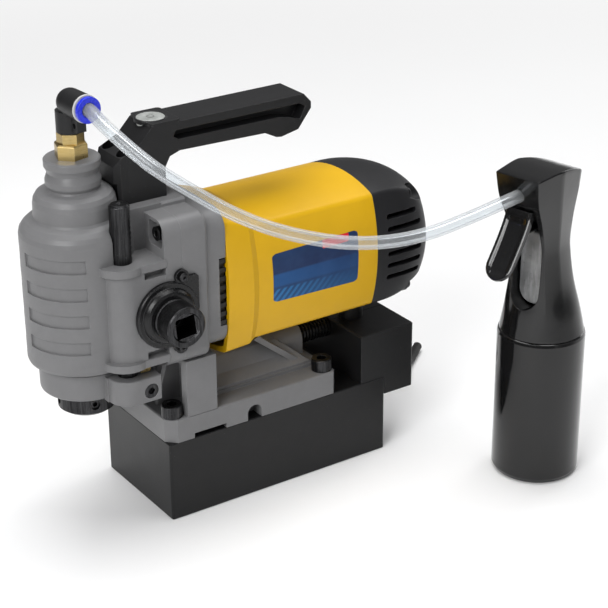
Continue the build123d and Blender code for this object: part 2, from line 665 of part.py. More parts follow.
with BuildPart() as bevel_shaft_gear:
    add_gear(gear_plane(BEVEL_GEAR_X, BEVEL_Z), BEVEL_SHAFT_GEAR,
             180 / BEVEL_SHAFT_TEETH - 90, 8.0)
    bores(at_x(BEVEL_GEAR_X), SHAFT_R, 8.0, BEVEL_AT)
write(bevel_shaft_gear, "bevel_shaft_gear")

# bevel pair: both pitch cones meet at the apex on the spindle axis
APEX = Vector(SPINDLE_X, 0, BEVEL_Z)
PINION_PITCH_R = MODULE * BEVEL_PINION_TEETH / 2
WHEEL_PITCH_R = MODULE * BEVEL_WHEEL_TEETH / 2
CONE_FAR = math.hypot(WHEEL_PITCH_R, PINION_PITCH_R)
CONE_NEAR = CONE_FAR - 6.6
PINION_CONE = math.atan2(PINION_PITCH_R, WHEEL_PITCH_R)
WHEEL_CONE = math.atan2(WHEEL_PITCH_R, PINION_PITCH_R)


def bevel_tooth(axis, radial, cone, teeth, addendum, dedendum):
    """The two end outlines of one straight bevel tooth, as planar faces on the cone."""
    along_cone = axis * math.cos(cone) + radial * math.sin(cone)
    outward = radial * math.cos(cone) - axis * math.sin(cone)
    across = outward.cross(along_cone)
    virtual_r = teeth / 2 / math.cos(cone)     # radius of the equivalent spur gear
    base_r = virtual_r * math.cos(PRESSURE_ANGLE)
    half = (math.pi / 2 - BACKLASH) / (2 * virtual_r) + involute(PRESSURE_ANGLE)
    flank = []                                 # across, outward
    for k in range(5):
        r = virtual_r - dedendum + (addendum + dedendum) * k / 4
        angle = half - involute(math.acos(min(1.0, base_r / max(r, base_r))))
        flank.append((r * math.sin(angle), r * math.cos(angle) - virtual_r))
    flank.insert(0, (flank[0][0], flank[0][1] - 0.5))      # root sunk into the blank
    tooth = [(-u, v) for u, v in flank] + [(u, v) for u, v in reversed(flank)]
    faces = []
    for distance in (CONE_NEAR, CONE_FAR):
        k = distance / CONE_FAR
        points = [APEX + along_cone * distance + across * (u * k) + outward * (v * k)
                  for u, v in tooth]
        faces.append(Face(Wire.make_polygon(points, close=True)))
    return faces


PINION_PROFILE = [         # x, radius
    (SPINDLE_X + 13.6, 0), (SPINDLE_X + 13.6, 2.72), (SPINDLE_X + 20.3, 4.26),
    (SPINDLE_X + 20.3, 5.6), (SPINDLE_X + 21.0, 6.3), (SPINDLE_X + 27.0, 6.3),
    (SPINDLE_X + 27.0, SHAFT_R), (-57.6, SHAFT_R), (-57.6, 0)]
WHEEL_PROFILE = [          # radius, z
    (5.0, 187.0), (13.2, 187.35), (19.8, 189.35), (20.9, 189.4), (20.9, 194.6),
    (10.0, 194.6), (10.0, 206.6), (5.0, 206.6)]
HEXAGON = {"side_count": 6, "major_radius": False}         # sized by its inner radius
DRIVE_HEX_R = 6.0

with BuildPart() as bevel_pinion:
    turn_x(BEVEL_Z, PINION_PROFILE)
    for k in range(BEVEL_PINION_TEETH):
        angle = 2 * math.pi * k / BEVEL_PINION_TEETH
        radial = Vector(0, math.sin(angle), math.cos(angle))
        loft(sections=bevel_tooth(Vector(1, 0, 0), radial, PINION_CONE, BEVEL_PINION_TEETH,
                                  addendum=1.2, dedendum=0.75), ruled=True)
write(bevel_pinion, "bevel_pinion")

with BuildPart() as bevel_wheel:
    turn_z(SPINDLE_X, 0, WHEEL_PROFILE)
    for k in range(BEVEL_WHEEL_TEETH):
        angle = 2 * math.pi * (k + 0.5) / BEVEL_WHEEL_TEETH
        radial = Vector(math.cos(angle), math.sin(angle), 0)
        loft(sections=bevel_tooth(Vector(0, 0, 1), radial, WHEEL_CONE, BEVEL_WHEEL_TEETH,
                                  addendum=0.5, dedendum=1.4), ruled=True)
    wheel_hex = shapes(at_z(180), [SPINDLE_AT], RegularPolygon, DRIVE_HEX_R + 0.02, **HEXAGON)
    extrude(wheel_hex, amount=30, mode=Mode.SUBTRACT)
write(bevel_wheel, "bevel_wheel")

with BuildPart() as drive_shaft:
    extrude(shapes(at_z(104.8), [SPINDLE_AT], RegularPolygon, DRIVE_HEX_R, **HEXAGON),
            amount=101.6)
    cylinders(at_z(206.4), 5.0, 9.0, SPINDLE_AT)
    bores(at_z(104.8), 2.1, 120, SPINDLE_AT)
write(drive_shaft, "drive_shaft")

# bearings along X: x, z, outer radius, width
BEARINGS = [
    (-43.5, MOTOR_Z, MOTOR_BEARING_R, 4.8), (82.4, MOTOR_Z, TAIL_BEARING_R, 7.0),
    (-73.2, LAY_Z, LAY_FRONT_R, 5.8), (-44.25, LAY_Z, LAY_REAR_R, 3.2),
    (-80.8, BEVEL_Z, BEVEL_BEARING_R, 6.4), (-72.4, BEVEL_Z, BEVEL_BEARING_R, 6.4)]
with BuildPart() as ball_bearings:
    for x, z, outer, width in BEARINGS:
        bearing_along_x(x, z, outer, width)
    spindle_bearing(200.9, 10.0, WHEEL_BEARING_R, 9.6)
write(ball_bearings, "ball_bearings")

# ================================================================ quill and spindle
QUILL_PROFILE = [          # radius, z
    (21, 89), (24, 89), (24, 104.8), (QUILL_R, 104.8), (QUILL_R, 175.4), (QUILL_R - 0.8, 176.2),
    (21, 176.2), (21, 158), (17, 158), (17, 100), (21, 100)]
with BuildPart() as quill_sleeve:
    turn_z(SPINDLE_X, 0, QUILL_PROFILE)
write(quill_sleeve, "quill_sleeve")

CLAMP_AT = (-92.0, 94.0)   # x, z of the clamp screw
CLAMP_SEAT_Y, CLAMP_HEAD_HEIGHT = -38.4, 4.4
with BuildPart() as quill_collar:
    cylinders(at_z(88.0), COLLAR_R, 16.6, SPINDLE_AT)
    fillet(quill_collar.faces().sort_by(Axis.Z)[0].edges(), 2.4)
    # clamp lug around the rack rod
    with BuildSketch(at_z(87.4)):
        with Locations(ROD_AT):
            Circle(12.0)
        with Locations((-93.25, -34.0)):
            Rectangle(15.5, 18.0)
        with Locations((-104.0, -22.0)):
            Rectangle(20.0, 16.0)
    extrude(amount=15.4)
    lug_face = quill_collar.faces().filter_by(Axis.Z).sort_by(Axis.Z)[-2]
    chamfer(lug_face.edges().filter_by(Axis.X), 0.5)
    # sleeve bore, rod bore and the clamp slit
    with BuildSketch(at_z(86.0)):
        with Locations(SPINDLE_AT):
            Circle(24.0)
        with Locations(ROD_AT):
            Circle(ROD_R)
        with Locations((-91.5, -31.0)):
            Rectangle(9.0, 1.6)
    extrude(amount=20.0, mode=Mode.SUBTRACT)
    # clamp screw hole across the slit, and its counterbore
    bores(at_y(-24.0), 2.5, 20.0, CLAMP_AT)
    bores(at_y(CLAMP_SEAT_Y), 4.6, 6.0, CLAMP_AT)
write(quill_collar, "quill_collar")

with BuildPart() as clamp_screw:
    cylinders(at_y(CLAMP_SEAT_Y), 4.3, CLAMP_HEAD_HEIGHT, CLAMP_AT)
    hex_sockets(at_y(CLAMP_SEAT_Y - CLAMP_HEAD_HEIGHT), 2.4, -2.6, CLAMP_AT)
    cylinders(at_y(CLAMP_SEAT_Y), 2.5, -13.0, CLAMP_AT)
write(clamp_screw, "clamp_screw")

RACK_ROOT_X, RACK_OPEN_X = -97.35, -94.4
ROOT_HALF, OPEN_HALF = 0.42, 1.49      # half widths of a tooth gap
with BuildPart() as rack_rod:
    cylinders(at_z(87.6), ROD_R, 121.9, ROD_AT)
    chamfer(rack_rod.faces().sort_by(Axis.Z)[-1].edges(), 1.2)
    chamfer(rack_rod.faces().sort_by(Axis.Z)[0].edges(), 0.6)
    # centre mark in the top end
    turn_z(ROD_X, ROD_Y, [(0, 207.6), (1.5, 209.5), (1.5, 211), (0, 211)], Mode.SUBTRACT)
    # rack teeth cut across the side that faces the feed gear
    with BuildSketch(at_y(-24.0)):
        for k in range(-4, 21):
            z = FEED_Z + k * math.pi * MODULE
            with BuildLine():
                Polyline((RACK_ROOT_X, z - ROOT_HALF), (RACK_ROOT_X, z + ROOT_HALF),
                         (RACK_OPEN_X, z + OPEN_HALF), (RACK_OPEN_X, z - OPEN_HALF), close=True)
            make_face()
    extrude(amount=14.0, mode=Mode.SUBTRACT)
write(rack_rod, "rack_rod")

with BuildPart() as quill_bearings:
    for z in (94.6, 164.2):
        spindle_bearing(z, ARBOR_R, QUILL_BEARING_R, 10.0)
write(quill_bearings, "quill_bearings")

ARBOR_PROFILE = [          # radius, z
    (0, 73), (14.6, 73), (17.5, 75.2), (17.5, 86.6), (16.9, 87.2), (ARBOR_R, 87.2),
    (ARBOR_R, 171.6), (ARBOR_R - 0.6, 172.2), (0, 172.2)]
GRUB_R = 3.0


def grub_plane(direction, distance):
    """Plane across a grub screw, the distance out from the spindle axis."""
    origin = (SPINDLE_X + distance * direction.X, distance * direction.Y, 80.4)
    return Plane(origin=origin, z_dir=direction)


GRUB_DIRECTIONS = [Vector(math.cos(math.radians(angle)), math.sin(math.radians(angle)), 0)
                   for angle in (-100.0, 170.0)]

with BuildPart() as arbor:
    turn_z(SPINDLE_X, 0, ARBOR_PROFILE)
    # tool bore, pilot pin way and the hexagon that slides on the drive shaft
    bores(at_z(73), 9.55, 26, SPINDLE_AT)
    bores(at_z(98), 3.3, 6, SPINDLE_AT)
    arbor_hex = shapes(at_z(103.2), [SPINDLE_AT], RegularPolygon, DRIVE_HEX_R + 0.06, **HEXAGON)
    extrude(arbor_hex, amount=70, mode=Mode.SUBTRACT)
    for direction in GRUB_DIRECTIONS:
        bores(grub_plane(direction, 5), GRUB_R, 20)
write(arbor, "arbor")

with BuildPart() as arbor_grub_screws:
    for direction in GRUB_DIRECTIONS:
        cylinders(grub_plane(direction, 9.8), GRUB_R, 6.2)
        hex_sockets(grub_plane(direction, 16.0), 1.6, -3.0)
write(arbor_grub_screws, "arbor_grub_screws")

# ================================================================ feed drive
COVER_PROFILE = [          # radius, y: spigot, flange and domed hub
    (17.75, -38.2), (17.75, -43.25), (20.4, -43.25), (20.4, -45.6), (19.8, -46.2), (17.4, -46.2),
    (16.8, -47.6), (15.6, -49.2), (14.2, -50.0), (FEED_HUB_BORE, -50.0), (FEED_HUB_BORE, -38.2)]
COVER_LUG = [              # x, z
    (FEED_X + 12, FEED_Z), (-59.4, FEED_Z - 1.0), (-59.4, 160.4), (-60.6, 161.6),
    (-68.0, 161.6), (FEED_X + 4, FEED_Z + 18)]
COVER_LOWER_WEB = [(-80.0, 123.4), (-76.4, 117.4), (-68.4, 117.4), (-66.0, 125.2)]   # x, z
COVER_Y, COVER_THICK = -43.25, 2.4
COVER_HEAD_Y = COVER_Y - COVER_THICK

with BuildPart() as feed_cover:
    turn_feed(COVER_PROFILE)
    # upper lug towards the motor, and the two screw ears
    with BuildSketch(at_y(COVER_Y)):
        with BuildLine():
            Polyline(*COVER_LUG, close=True)
        make_face()
        with Locations(*COVER_SCREWS):
            Circle(4.4)
        with BuildLine():
            Polyline(*COVER_LOWER_WEB, close=True)
        make_face()
    extrude(amount=COVER_THICK)
    bores(at_y(-30), FEED_HUB_BORE, 30, FEED_AT)
    bores(at_y(-40), 1.7, 10, *COVER_SCREWS)
write(feed_cover, "feed_cover")

with BuildPart() as cover_screws:
    cylinders(at_y(COVER_HEAD_Y), 3.0, 2.4, *COVER_SCREWS)
    fillet(cover_screws.faces().group_by(Axis.Y)[0].edges(), 0.8)
    hex_sockets(at_y(COVER_HEAD_Y - 2.4), 1.2, -1.4, *COVER_SCREWS)
    cylinders(at_y(COVER_HEAD_Y), 1.5, -12.0, *COVER_SCREWS)
write(cover_screws, "cover_screws")

FEED_SHAFT_PROFILE = [     # radius, y
    (0, -14.4), (FEED_SHAFT_R, -14.4), (FEED_SHAFT_R, -36.2), (12.5, -36.2), (12.5, -52.0),
    (12.0, -52.4), (12.0, -53.6), (12.5, -54.0), (12.5, -65.3), (11.8, -66.0), (0, -66.0)]
FEED_MOUTH = [(0, -66.5), (9.6, -66.5), (9.2, -66.0), (8.3, -64.8), (0, -64.8)]   # radius, y
with BuildPart() as feed_shaft:
    turn_feed(FEED_SHAFT_PROFILE)
    # square drive for the feed lever, a bore beyond it, and its flared mouth
    square = shapes(at_y(-66.0), [FEED_AT], Rectangle, 12.75, 12.75, rotation=6.0)
    extrude(square, amount=-16.0, mode=Mode.SUBTRACT)
    bores(at_y(-50.2), 5.6, -4.0, FEED_AT)
    turn_feed(FEED_MOUTH, Mode.SUBTRACT)
write(feed_shaft, "feed_shaft")

with BuildPart() as feed_gear:
    feed_plane = at_y(-26.0).shift_origin((FEED_X, -26.0, FEED_Z))
    add_gear(feed_plane, gear_points(FEED_TEETH), 0.0, 10.0)
    bores(at_y(-26.0), FEED_SHAFT_R, 10.0, FEED_AT)
write(feed_gear, "feed_gear")

PAD_AT, PAD_Z = (-91.55, -31.0), 103.4
with BuildPart() as rack_guide_pad:
    blocks(at_z(PAD_Z), 6.4, 9.8, 9.4, PAD_AT)
    # grid of small square pits in the underside
    with BuildSketch(at_z(PAD_Z)):
        with GridLocations(1.6, 1.6, 4, 6):
            with Locations(PAD_AT):
                Rectangle(0.5, 0.5)
    extrude(amount=0.8, mode=Mode.SUBTRACT)
write(rack_guide_pad, "rack_guide_pad")

# ================================================================ carrying handle and level
HANDLE_OUTLINE = [         # x, z
    (-92.4, HANDLE_SEAT_Z), (-92.4, 222.6), (-89.0, 227.8), (-76.6, 233.6), (-67.7, 242.8),
    (36.6, 243.2), (41.7, 237.6), (41.7, 233.6), (32.4, 221.9), (20.4, 219.4), (16.6, 219.9),
    (8.5, 224.0), (-50.0, 225.3), (-56.8, 223.0), (-60.0, 217.2), (-60.0, HANDLE_SEAT_Z)]
GRIP_RECESS = [            # x, z
    (-52.4, 237.9), (33.4, 237.9), (37.6, 235.4), (33.6, 228.0), (26.0, 230.6),
    (18.0, 232.0), (-50.6, 232.2), (-54.0, 234.4)]
HANDLE_HALF = 13.0         # half width
LEVEL_AT, LEVEL_Z = (-61.4, 0), 239.6
HANDLE_HEAD_Z = 207.0      # seat of the screw heads

with BuildPart() as handle:
    prism(at_y(HANDLE_HALF), HANDLE_OUTLINE, 2 * HANDLE_HALF)
    fillet(handle.edges().filter_by(Axis.Y).group_by(Axis.X)[-1], 1.5)
    chamfer(handle.edges().filter_by(Axis.Z).group_by(Axis.X)[0], 3.2)
    # level seat
    extrude(shapes(at_z(242.4), [(-58.4, 0)], RectangleRounded, 19.6, 26, 2.5), amount=1.9)
    bores(at_z(LEVEL_Z + 5.0), 8.6, -5.0, LEVEL_AT)
    # long grip recesses in both sides, leaving a web
    for side in (1, -1):
        prism(at_y(-side * HANDLE_HALF), GRIP_RECESS, -side * 8.5, Mode.SUBTRACT)
    # screw wells down the post
    bores(at_z(HANDLE_HEAD_Z), 4.5, 30.0, *HANDLE_SCREWS)
    bores(at_z(198.0), 2.7, 12.0, *HANDLE_SCREWS)
    # saddle round the spindle column's shoulder
    bores(at_z(199.0), 24.8, 13.6, SPINDLE_AT)
write(handle, "handle")

with BuildPart() as handle_screws:
    cylinders(at_z(HANDLE_HEAD_Z), 4.2, 5.0, *HANDLE_SCREWS)
    hex_sockets(at_z(HANDLE_HEAD_Z + 5.0), 2.3, -2.6, *HANDLE_SCREWS)
    cylinders(at_z(HANDLE_HEAD_Z), 2.5, -14.0, *HANDLE_SCREWS)
write(handle_screws, "handle_screws")

with BuildPart() as bubble_level:
    cylinders(at_z(LEVEL_Z), 8.55, 5.0, LEVEL_AT)
    fillet(bubble_level.faces().sort_by(Axis.Z)[-1].edges(), 0.5)
write(bubble_level, "bubble_level")

# ================================================================ control box
BOX_HALF = 39.5            # half width
BOX_STEP_X = 80.1          # behind this the box hangs down past the magnet's top
WALL = 2.5
BOX_OUTLINE = [            # x, z
    (BOX_X0, MAGNET_HEIGHT), (BOX_X0, BOX_Z1), (BOX_X1, BOX_Z1), (BOX_X1, BOX_Z0),
    (BOX_STEP_X, BOX_Z0), (BOX_STEP_X, MAGNET_HEIGHT)]
BOX_HOLLOW = [             # x, z
    (BOX_X0 + WALL, MAGNET_HEIGHT + WALL), (BOX_X0 + WALL, BOX_Z1 - WALL),
    (BOX_X1 - WALL, BOX_Z1 - WALL), (BOX_X1 - WALL, BOX_Z0 + WALL),
    (BOX_STEP_X + WALL, BOX_Z0 + WALL), (BOX_STEP_X + WALL, MAGNET_HEIGHT + WALL)]
PLATE_AT = (0, 62.0)                       # y, z
SWITCHES = [(12.0, 65.0), (-14.0, 65.0)]   # y, z: magnet, motor
CABLE_Y, CABLE_Z = 27.5, 50.6
CABLE_AT = (CABLE_Y, CABLE_Z)
CABLE_R = 3.2
STEM_AT = (76.0, -7.0)                     # x, y

with BuildPart() as control_box:
    prism(at_y(BOX_HALF), BOX_OUTLINE, 2 * BOX_HALF)
    fillet(control_box.edges().filter_by(Axis.Z).group_by(Axis.X)[-1], 2.0)
    chamfer(control_box.faces().sort_by(Axis.Z)[-1].edges(), 0.8)
    prism(at_y(BOX_HALF - WALL), BOX_HOLLOW, 2 * (BOX_HALF - WALL), Mode.SUBTRACT)
    # rear opening closed by the switch plate
    pockets(at_x(BOX_X1 - 3.0), 68.0, 34.0, 4.0, PLATE_AT)
    # conduit entry, lead stem entry and magnet lead entry
    bores(at_x(BOX_X0 - 1), 5.0, 4.0, CONDUIT_AT)
    bores(at_z(BOX_Z1 - 3.0), 5.0, 4.0, STEM_AT)
    bores(at_z(51.0), 3.0, 4.0, (68.0, 0))
    # parting groove over the top
    pockets(at_z(BOX_Z1), 50.0, 0.7, -0.6, ((BOX_X0 + BOX_X1) / 2, -6.0))
write(control_box, "control_box")

with BuildPart() as switch_plate:
    with BuildSketch(at_x(BOX_X1 - WALL)):
        with Locations(PLATE_AT):
            Rectangle(67.8, 33.8)
        with Locations(*SWITCHES):
            Rectangle(14.2, 20.2, mode=Mode.SUBTRACT)
        with Locations(CABLE_AT):
            Circle(4.2, mode=Mode.SUBTRACT)
    extrude(amount=WALL)
    # raised frames round the switches
    with BuildSketch(at_x(BOX_X1)):
        with Locations(*SWITCHES):
            Rectangle(17.0, 23.0)
            Rectangle(14.2, 20.2, mode=Mode.SUBTRACT)
    extrude(amount=1.2)
write(switch_plate, "switch_plate")

ROCKER_X, ROCKER_WIDTH = 101.0, 13.2
ROCKER_OUTLINE = [         # x, z from the pivot
    (-3.0, -4.0), (0.5, -9.2), (3.6, -9.0), (3.0, 0), (5.6, 8.6), (1.4, 9.4), (-3.0, 4.0)]


def rocker(switch_y, switch_z):
    """Switch rocker with its pivot hole along Y."""
    plane = at_y(switch_y + ROCKER_WIDTH / 2)
    with BuildPart() as part:
        prism(plane, [(ROCKER_X + x, switch_z + z) for x, z in ROCKER_OUTLINE], ROCKER_WIDTH)
        bores(plane, 1.0, ROCKER_WIDTH, (ROCKER_X, switch_z))
    return part


for place, label in zip(SWITCHES, ("magnet_rocker", "motor_rocker")):
    write(rocker(*place), label)

COMPONENTS = [             # y, z, width, length, height
    (22, 70, 16, 12, 3.0), (-18, 52, 20, 9, 3.0), (2, 56, 12, 12, 2.0), (-24, 70, 14, 10, 3.0)]
with BuildPart() as circuit_board:
    blocks(at_x(86.0), 70.0, 34.0, 1.6, PLATE_AT)
    # components on the front face
    for y, z, width, length, height in COMPONENTS:
        blocks(at_x(86.0), width, length, -height, (y, z))
write(circuit_board, "circuit_board")

# corrugated conduit from the base boss into the box
CONDUIT_BORE, CONDUIT_R, GROOVE_R, CONDUIT_TIP_R = 3.4, 6.6, 5.2, 4.9
CONDUIT_PROFILE = [(27.0, CONDUIT_BORE), (27.0, CONDUIT_R), (36.4, CONDUIT_R)]    # x, radius
for k in range(10):
    x = 36.4 + 2.4 * k
    CONDUIT_PROFILE += [(x + 0.3, GROOVE_R), (x + 1.1, GROOVE_R),
                        (x + 1.4, CONDUIT_R), (x + 2.4, CONDUIT_R)]
CONDUIT_PROFILE += [(61.4, CONDUIT_R), (61.4, CONDUIT_TIP_R), (64.4, CONDUIT_TIP_R),
                    (64.4, CONDUIT_BORE)]
with BuildPart() as cable_conduit:
    turn_x(CONDUIT_AT[1], CONDUIT_PROFILE)
write(cable_conduit, "cable_conduit")

# moulded stem that takes the motor leads from the box up into the motor floor
with BuildPart() as lead_stem:
    cylinders(at_z(BOX_Z1), 8.0, 13.2, STEM_AT)
    cylinders(at_z(BOX_Z1 - 3.0), 4.9, 3.0, STEM_AT)
    bores(at_z(BOX_Z1 - 3.0), 3.4, 20.0, STEM_AT)
write(lead_stem, "lead_stem")

with BuildPart() as strain_relief:
    rings(at_x(BOX_X1 - 4.0), 4.15, CABLE_R, 4.0, CABLE_AT)
    rings(at_x(BOX_X1), 6.2, CABLE_R, 12.0, CABLE_AT)
    for x in (105.4, 108.4, 111.4):
        rings(at_x(x), 7.0, 5.0, 1.2, CABLE_AT, mode=Mode.SUBTRACT)
write(strain_relief, "strain_relief")

# mains lead, leaving the switch plate and drooping to the bench
CABLE_START = (92.0, CABLE_Y, CABLE_Z)
CABLE_BEND = (117.0, CABLE_Y, CABLE_Z)
CABLE_DROOP = [(136.0, 29.0, 38.0), (150.0, 35.0, 14.0), (166.0, 46.0, 3.8), (186.0, 62.0, 3.4)]
with BuildPart() as mains_cable:
    with BuildLine():
        Line(CABLE_START, CABLE_BEND)
        Spline(CABLE_BEND, *CABLE_DROOP, tangents=[(1, 0, 0), (1, 0.8, 0)])
    with BuildSketch(Plane(origin=CABLE_START, z_dir=(1, 0, 0))):
        Circle(CABLE_R)
    sweep()
write(mains_cable, "mains_cable")

# ================================================================ coolant feed
ADAPTER_Z = 231.0          # top of the spindle column
STUD_Z = 239.6             # underside of the elbow stud's hexagon
STUD_R = 4.6
COOLANT_R = 2.2

with BuildPart() as brass_adapter:
    extrude(shapes(at_z(ADAPTER_Z), [SPINDLE_AT], RegularPolygon, 9.9, 6, rotation=14),
            amount=STUD_Z - ADAPTER_Z)
    chamfer(brass_adapter.faces().sort_by(Axis.Z)[-1].edges(), 0.8)
    cylinders(at_z(221.4), 6.48, 9.6, SPINDLE_AT)
    cylinders(at_z(202.0), 1.6, 19.5, SPINDLE_AT)
    bores(at_z(201.0), 0.9, 40.0, SPINDLE_AT)
    bores(at_z(230.0), STUD_R, 10.0, SPINDLE_AT)
write(brass_adapter, "brass_adapter")

with BuildPart() as elbow_stud:
    extrude(shapes(at_z(STUD_Z), [SPINDLE_AT], RegularPolygon, 7.9, 6, rotation=30), amount=6.4)
    chamfer(elbow_stud.faces().sort_by(Axis.Z)[-1].edges(), 0.6)
    cylinders(at_z(230.4), STUD_R, 9.2, SPINDLE_AT)
    cylinders(at_z(246.0), STUD_R, 9.0, SPINDLE_AT)
    bores(at_z(230.0), COOLANT_R, 30.0, SPINDLE_AT)
write(elbow_stud, "elbow_stud")

ELBOW_ANGLE = math.radians(-86.0)
ELBOW_DIR = (math.cos(ELBOW_ANGLE), math.sin(ELBOW_ANGLE), 0.0)
ELBOW_Z = 263.6
# upright plane through the swivel axis, drawn in (distance along the barrel, z)
ELBOW_SIDE = Plane(origin=(SPINDLE_X, 0, 0), x_dir=ELBOW_DIR,
                   z_dir=(ELBOW_DIR[1], -ELBOW_DIR[0], 0))


def barrel_point(distance):
    """Point on the elbow's barrel axis, the distance ahead of the swivel axis."""
    return (SPINDLE_X + distance * ELBOW_DIR[0], distance * ELBOW_DIR[1], ELBOW_Z)


def barrel_plane(distance):
    """Plane across the barrel, facing the hose."""
    return Plane(origin=barrel_point(distance), z_dir=ELBOW_DIR)


with BuildPart() as elbow_body:
    cylinders(at_z(246.2), 7.8, 12.4, SPINDLE_AT)
    cylinders(barrel_plane(2.6), 8.0, 15.0)
    with Locations(barrel_point(2.6)):
        Sphere(8.0)
    # ear with the tie eyelet
    extrude(shapes(ELBOW_SIDE, [(9.6, 252.4)], Rectangle, 7.0, 8.0), amount=3.0, both=True)
    extrude(shapes(ELBOW_SIDE, [(10.0, 252.0)], Circle, 1.7), amount=10.0, both=True,
            mode=Mode.SUBTRACT)
    # swivel bore, coolant way up to the barrel, and the stepped barrel bore
    bores(at_z(246.0), STUD_R + GAP, 9.4, SPINDLE_AT)
    bores(at_z(250.0), COOLANT_R, ELBOW_Z - 250.0, SPINDLE_AT)
    for distance, radius in ((-1.0, 2.4), (5.0, 4.2), (9.0, 5.3)):
        bores(barrel_plane(distance), radius, 30.0)
write(elbow_body, "elbow_body")

with BuildPart() as release_collet:
    rings(barrel_plane(11.0), 5.25, 4.3, 9.4)
    rings(barrel_plane(20.2), 7.6, 4.3, 2.2)
    fillet(release_collet.edges().filter_by(GeomType.CIRCLE).sort_by(Axis.Y)[0:2], 0.35)
write(release_collet, "release_collet")

# ================================================================ coolant bottle
BOTTLE_X, BOTTLE_Y = 147.0, -112.0
BOTTLE_R = 27.4
BOTTLE_DIR = (-0.978, -0.208, 0.0)     # the way the spray head faces
BOTTLE_ACROSS = (BOTTLE_DIR[1], -BOTTLE_DIR[0], 0)
PORT_Z, PLUNGER_Z = 193.0, 169.0
PLUNGER_R = 3.0
HINGE_AT, HINGE_R = (27.0, 181.0), 2.0
BOTTLE_PLAN = Plane(origin=(BOTTLE_X, BOTTLE_Y, 0), x_dir=BOTTLE_DIR, z_dir=(0, 0, 1))
# upright plane through the bottle's axis, drawn in (distance ahead of the axis, z)
BOTTLE_SIDE = Plane(origin=(BOTTLE_X, BOTTLE_Y, 0), x_dir=BOTTLE_DIR, z_dir=BOTTLE_ACROSS)


def bottle_point(ahead, z):
    """Point ahead of the bottle's axis at height z."""
    return (BOTTLE_X + ahead * BOTTLE_DIR[0], BOTTLE_Y + ahead * BOTTLE_DIR[1], z)


def bottle_across(ahead, z):
    """Plane at that point, facing the way the head faces."""
    return Plane(origin=bottle_point(ahead, z), z_dir=BOTTLE_DIR)


# hose from the elbow, sagging past the motor, up into the bottle's spray port
HOSE_SAG = [
    (-110.7, -44.0, 257.8), (-99.7, -67.0, 243.0), (-83.7, -81.0, 229.5),
    (-64.3, -90.0, 215.3), (-43.1, -97.0, 203.3), (-20.7, -103.0, 194.1),
    (3.4, -107.5, 187.0), (28.5, -111.5, 183.2), (54.9, -114.5, 183.2),
    (82.2, -117.2, 187.4), (103.0, -118.9, 191.4)]
with BuildPart() as coolant_hose:
    with BuildLine():
        Spline(barrel_point(6.0), barrel_point(14.0), barrel_point(23.0), *HOSE_SAG,
               bottle_point(30.0, PORT_Z), bottle_point(22.0, PORT_Z))
    with BuildSketch(barrel_plane(6.0)):
        Circle(3.96)
    sweep(is_frenet=True)
write(coolant_hose, "coolant_hose")

BOTTLE_PROFILE = [         # radius, z: outside up to the neck, then back down the inside
    (0, 1.6), (18.0, 1.6), (19.6, 0.0), (23.6, 0.0), (26.2, 1.0), (BOTTLE_R, 3.4),
    (BOTTLE_R, 95.4), (26.9, 97.2), (25.6, 98.0), (20.0, 98.0), (20.0, 106.0), (18.4, 106.0),
    (18.4, 96.4), (25.6, 94.6), (25.6, 4.0), (22.4, 3.2), (0, 3.2)]
with BuildPart() as bottle_body:
    revolve(outline(BOTTLE_SIDE, BOTTLE_PROFILE), axis=Axis((BOTTLE_X, BOTTLE_Y, 0), (0, 0, 1)))
write(bottle_body, "bottle_body")


def head_section(z, front, back, half, power):
    """Superellipse section of the spray head at height z in the bottle's frame."""
    points = []
    for k in range(16):
        angle = 2 * math.pi * k / 16
        c, s = math.cos(angle), math.sin(angle)
        reach = front if c >= 0 else back
        points.append((math.copysign(abs(c) ** (2 / power), c) * reach,
                       math.copysign(abs(s) ** (2 / power), s) * half))
    with BuildSketch(BOTTLE_PLAN.offset(z)) as sketch:
        with BuildLine():
            Spline(*points, periodic=True)
        make_face()
    return sketch.sketch.face()


HEAD_SECTIONS = [          # z, front reach, back reach, half width, power
    (98.2, 25.2, 25.2, 25.2, 2.0), (112.0, 23.0, 22.0, 22.4, 2.05),
    (132.0, 19.4, 17.4, 18.2, 2.15), (152.0, 18.4, 14.6, 15.8, 2.3),
    (170.0, 22.6, 15.4, 15.4, 2.5), (186.0, 30.0, 18.8, 16.2, 2.8),
    (210.0, 36.6, 25.6, 17.2, 3.0)]
# side outlines of the head and trigger: distance ahead of the axis, z
CROWN_CUT = [
    (-60, 191.0), (-26.0, 196.6), (0, 203.4), (24.0, 206.6), (36.0, 204.8), (60, 199.0),
    (60, 240), (-60, 240)]
TRIGGER_RECESS = [
    (9.0, 122.0), (13.0, 116.0), (60.0, 112.0), (60.0, 185.4), (24.0, 185.4), (19.0, 180.0),
    (9.0, 166.0)]
TRIGGER_OUTLINE = [
    (23.6, 182.6), (27.0, 184.6), (31.0, 182.6), (37.0, 172.0), (46.0, 158.0), (52.4, 148.6),
    (51.6, 144.6), (48.4, 143.6), (45.0, 146.0), (37.0, 156.0), (28.6, 168.0), (24.2, 177.0)]
TRIGGER_HOLLOW = [
    (27.4, 174.6), (33.4, 168.2), (45.0, 151.0), (45.6, 144.0), (30.0, 150.0), (24.0, 170.0)]

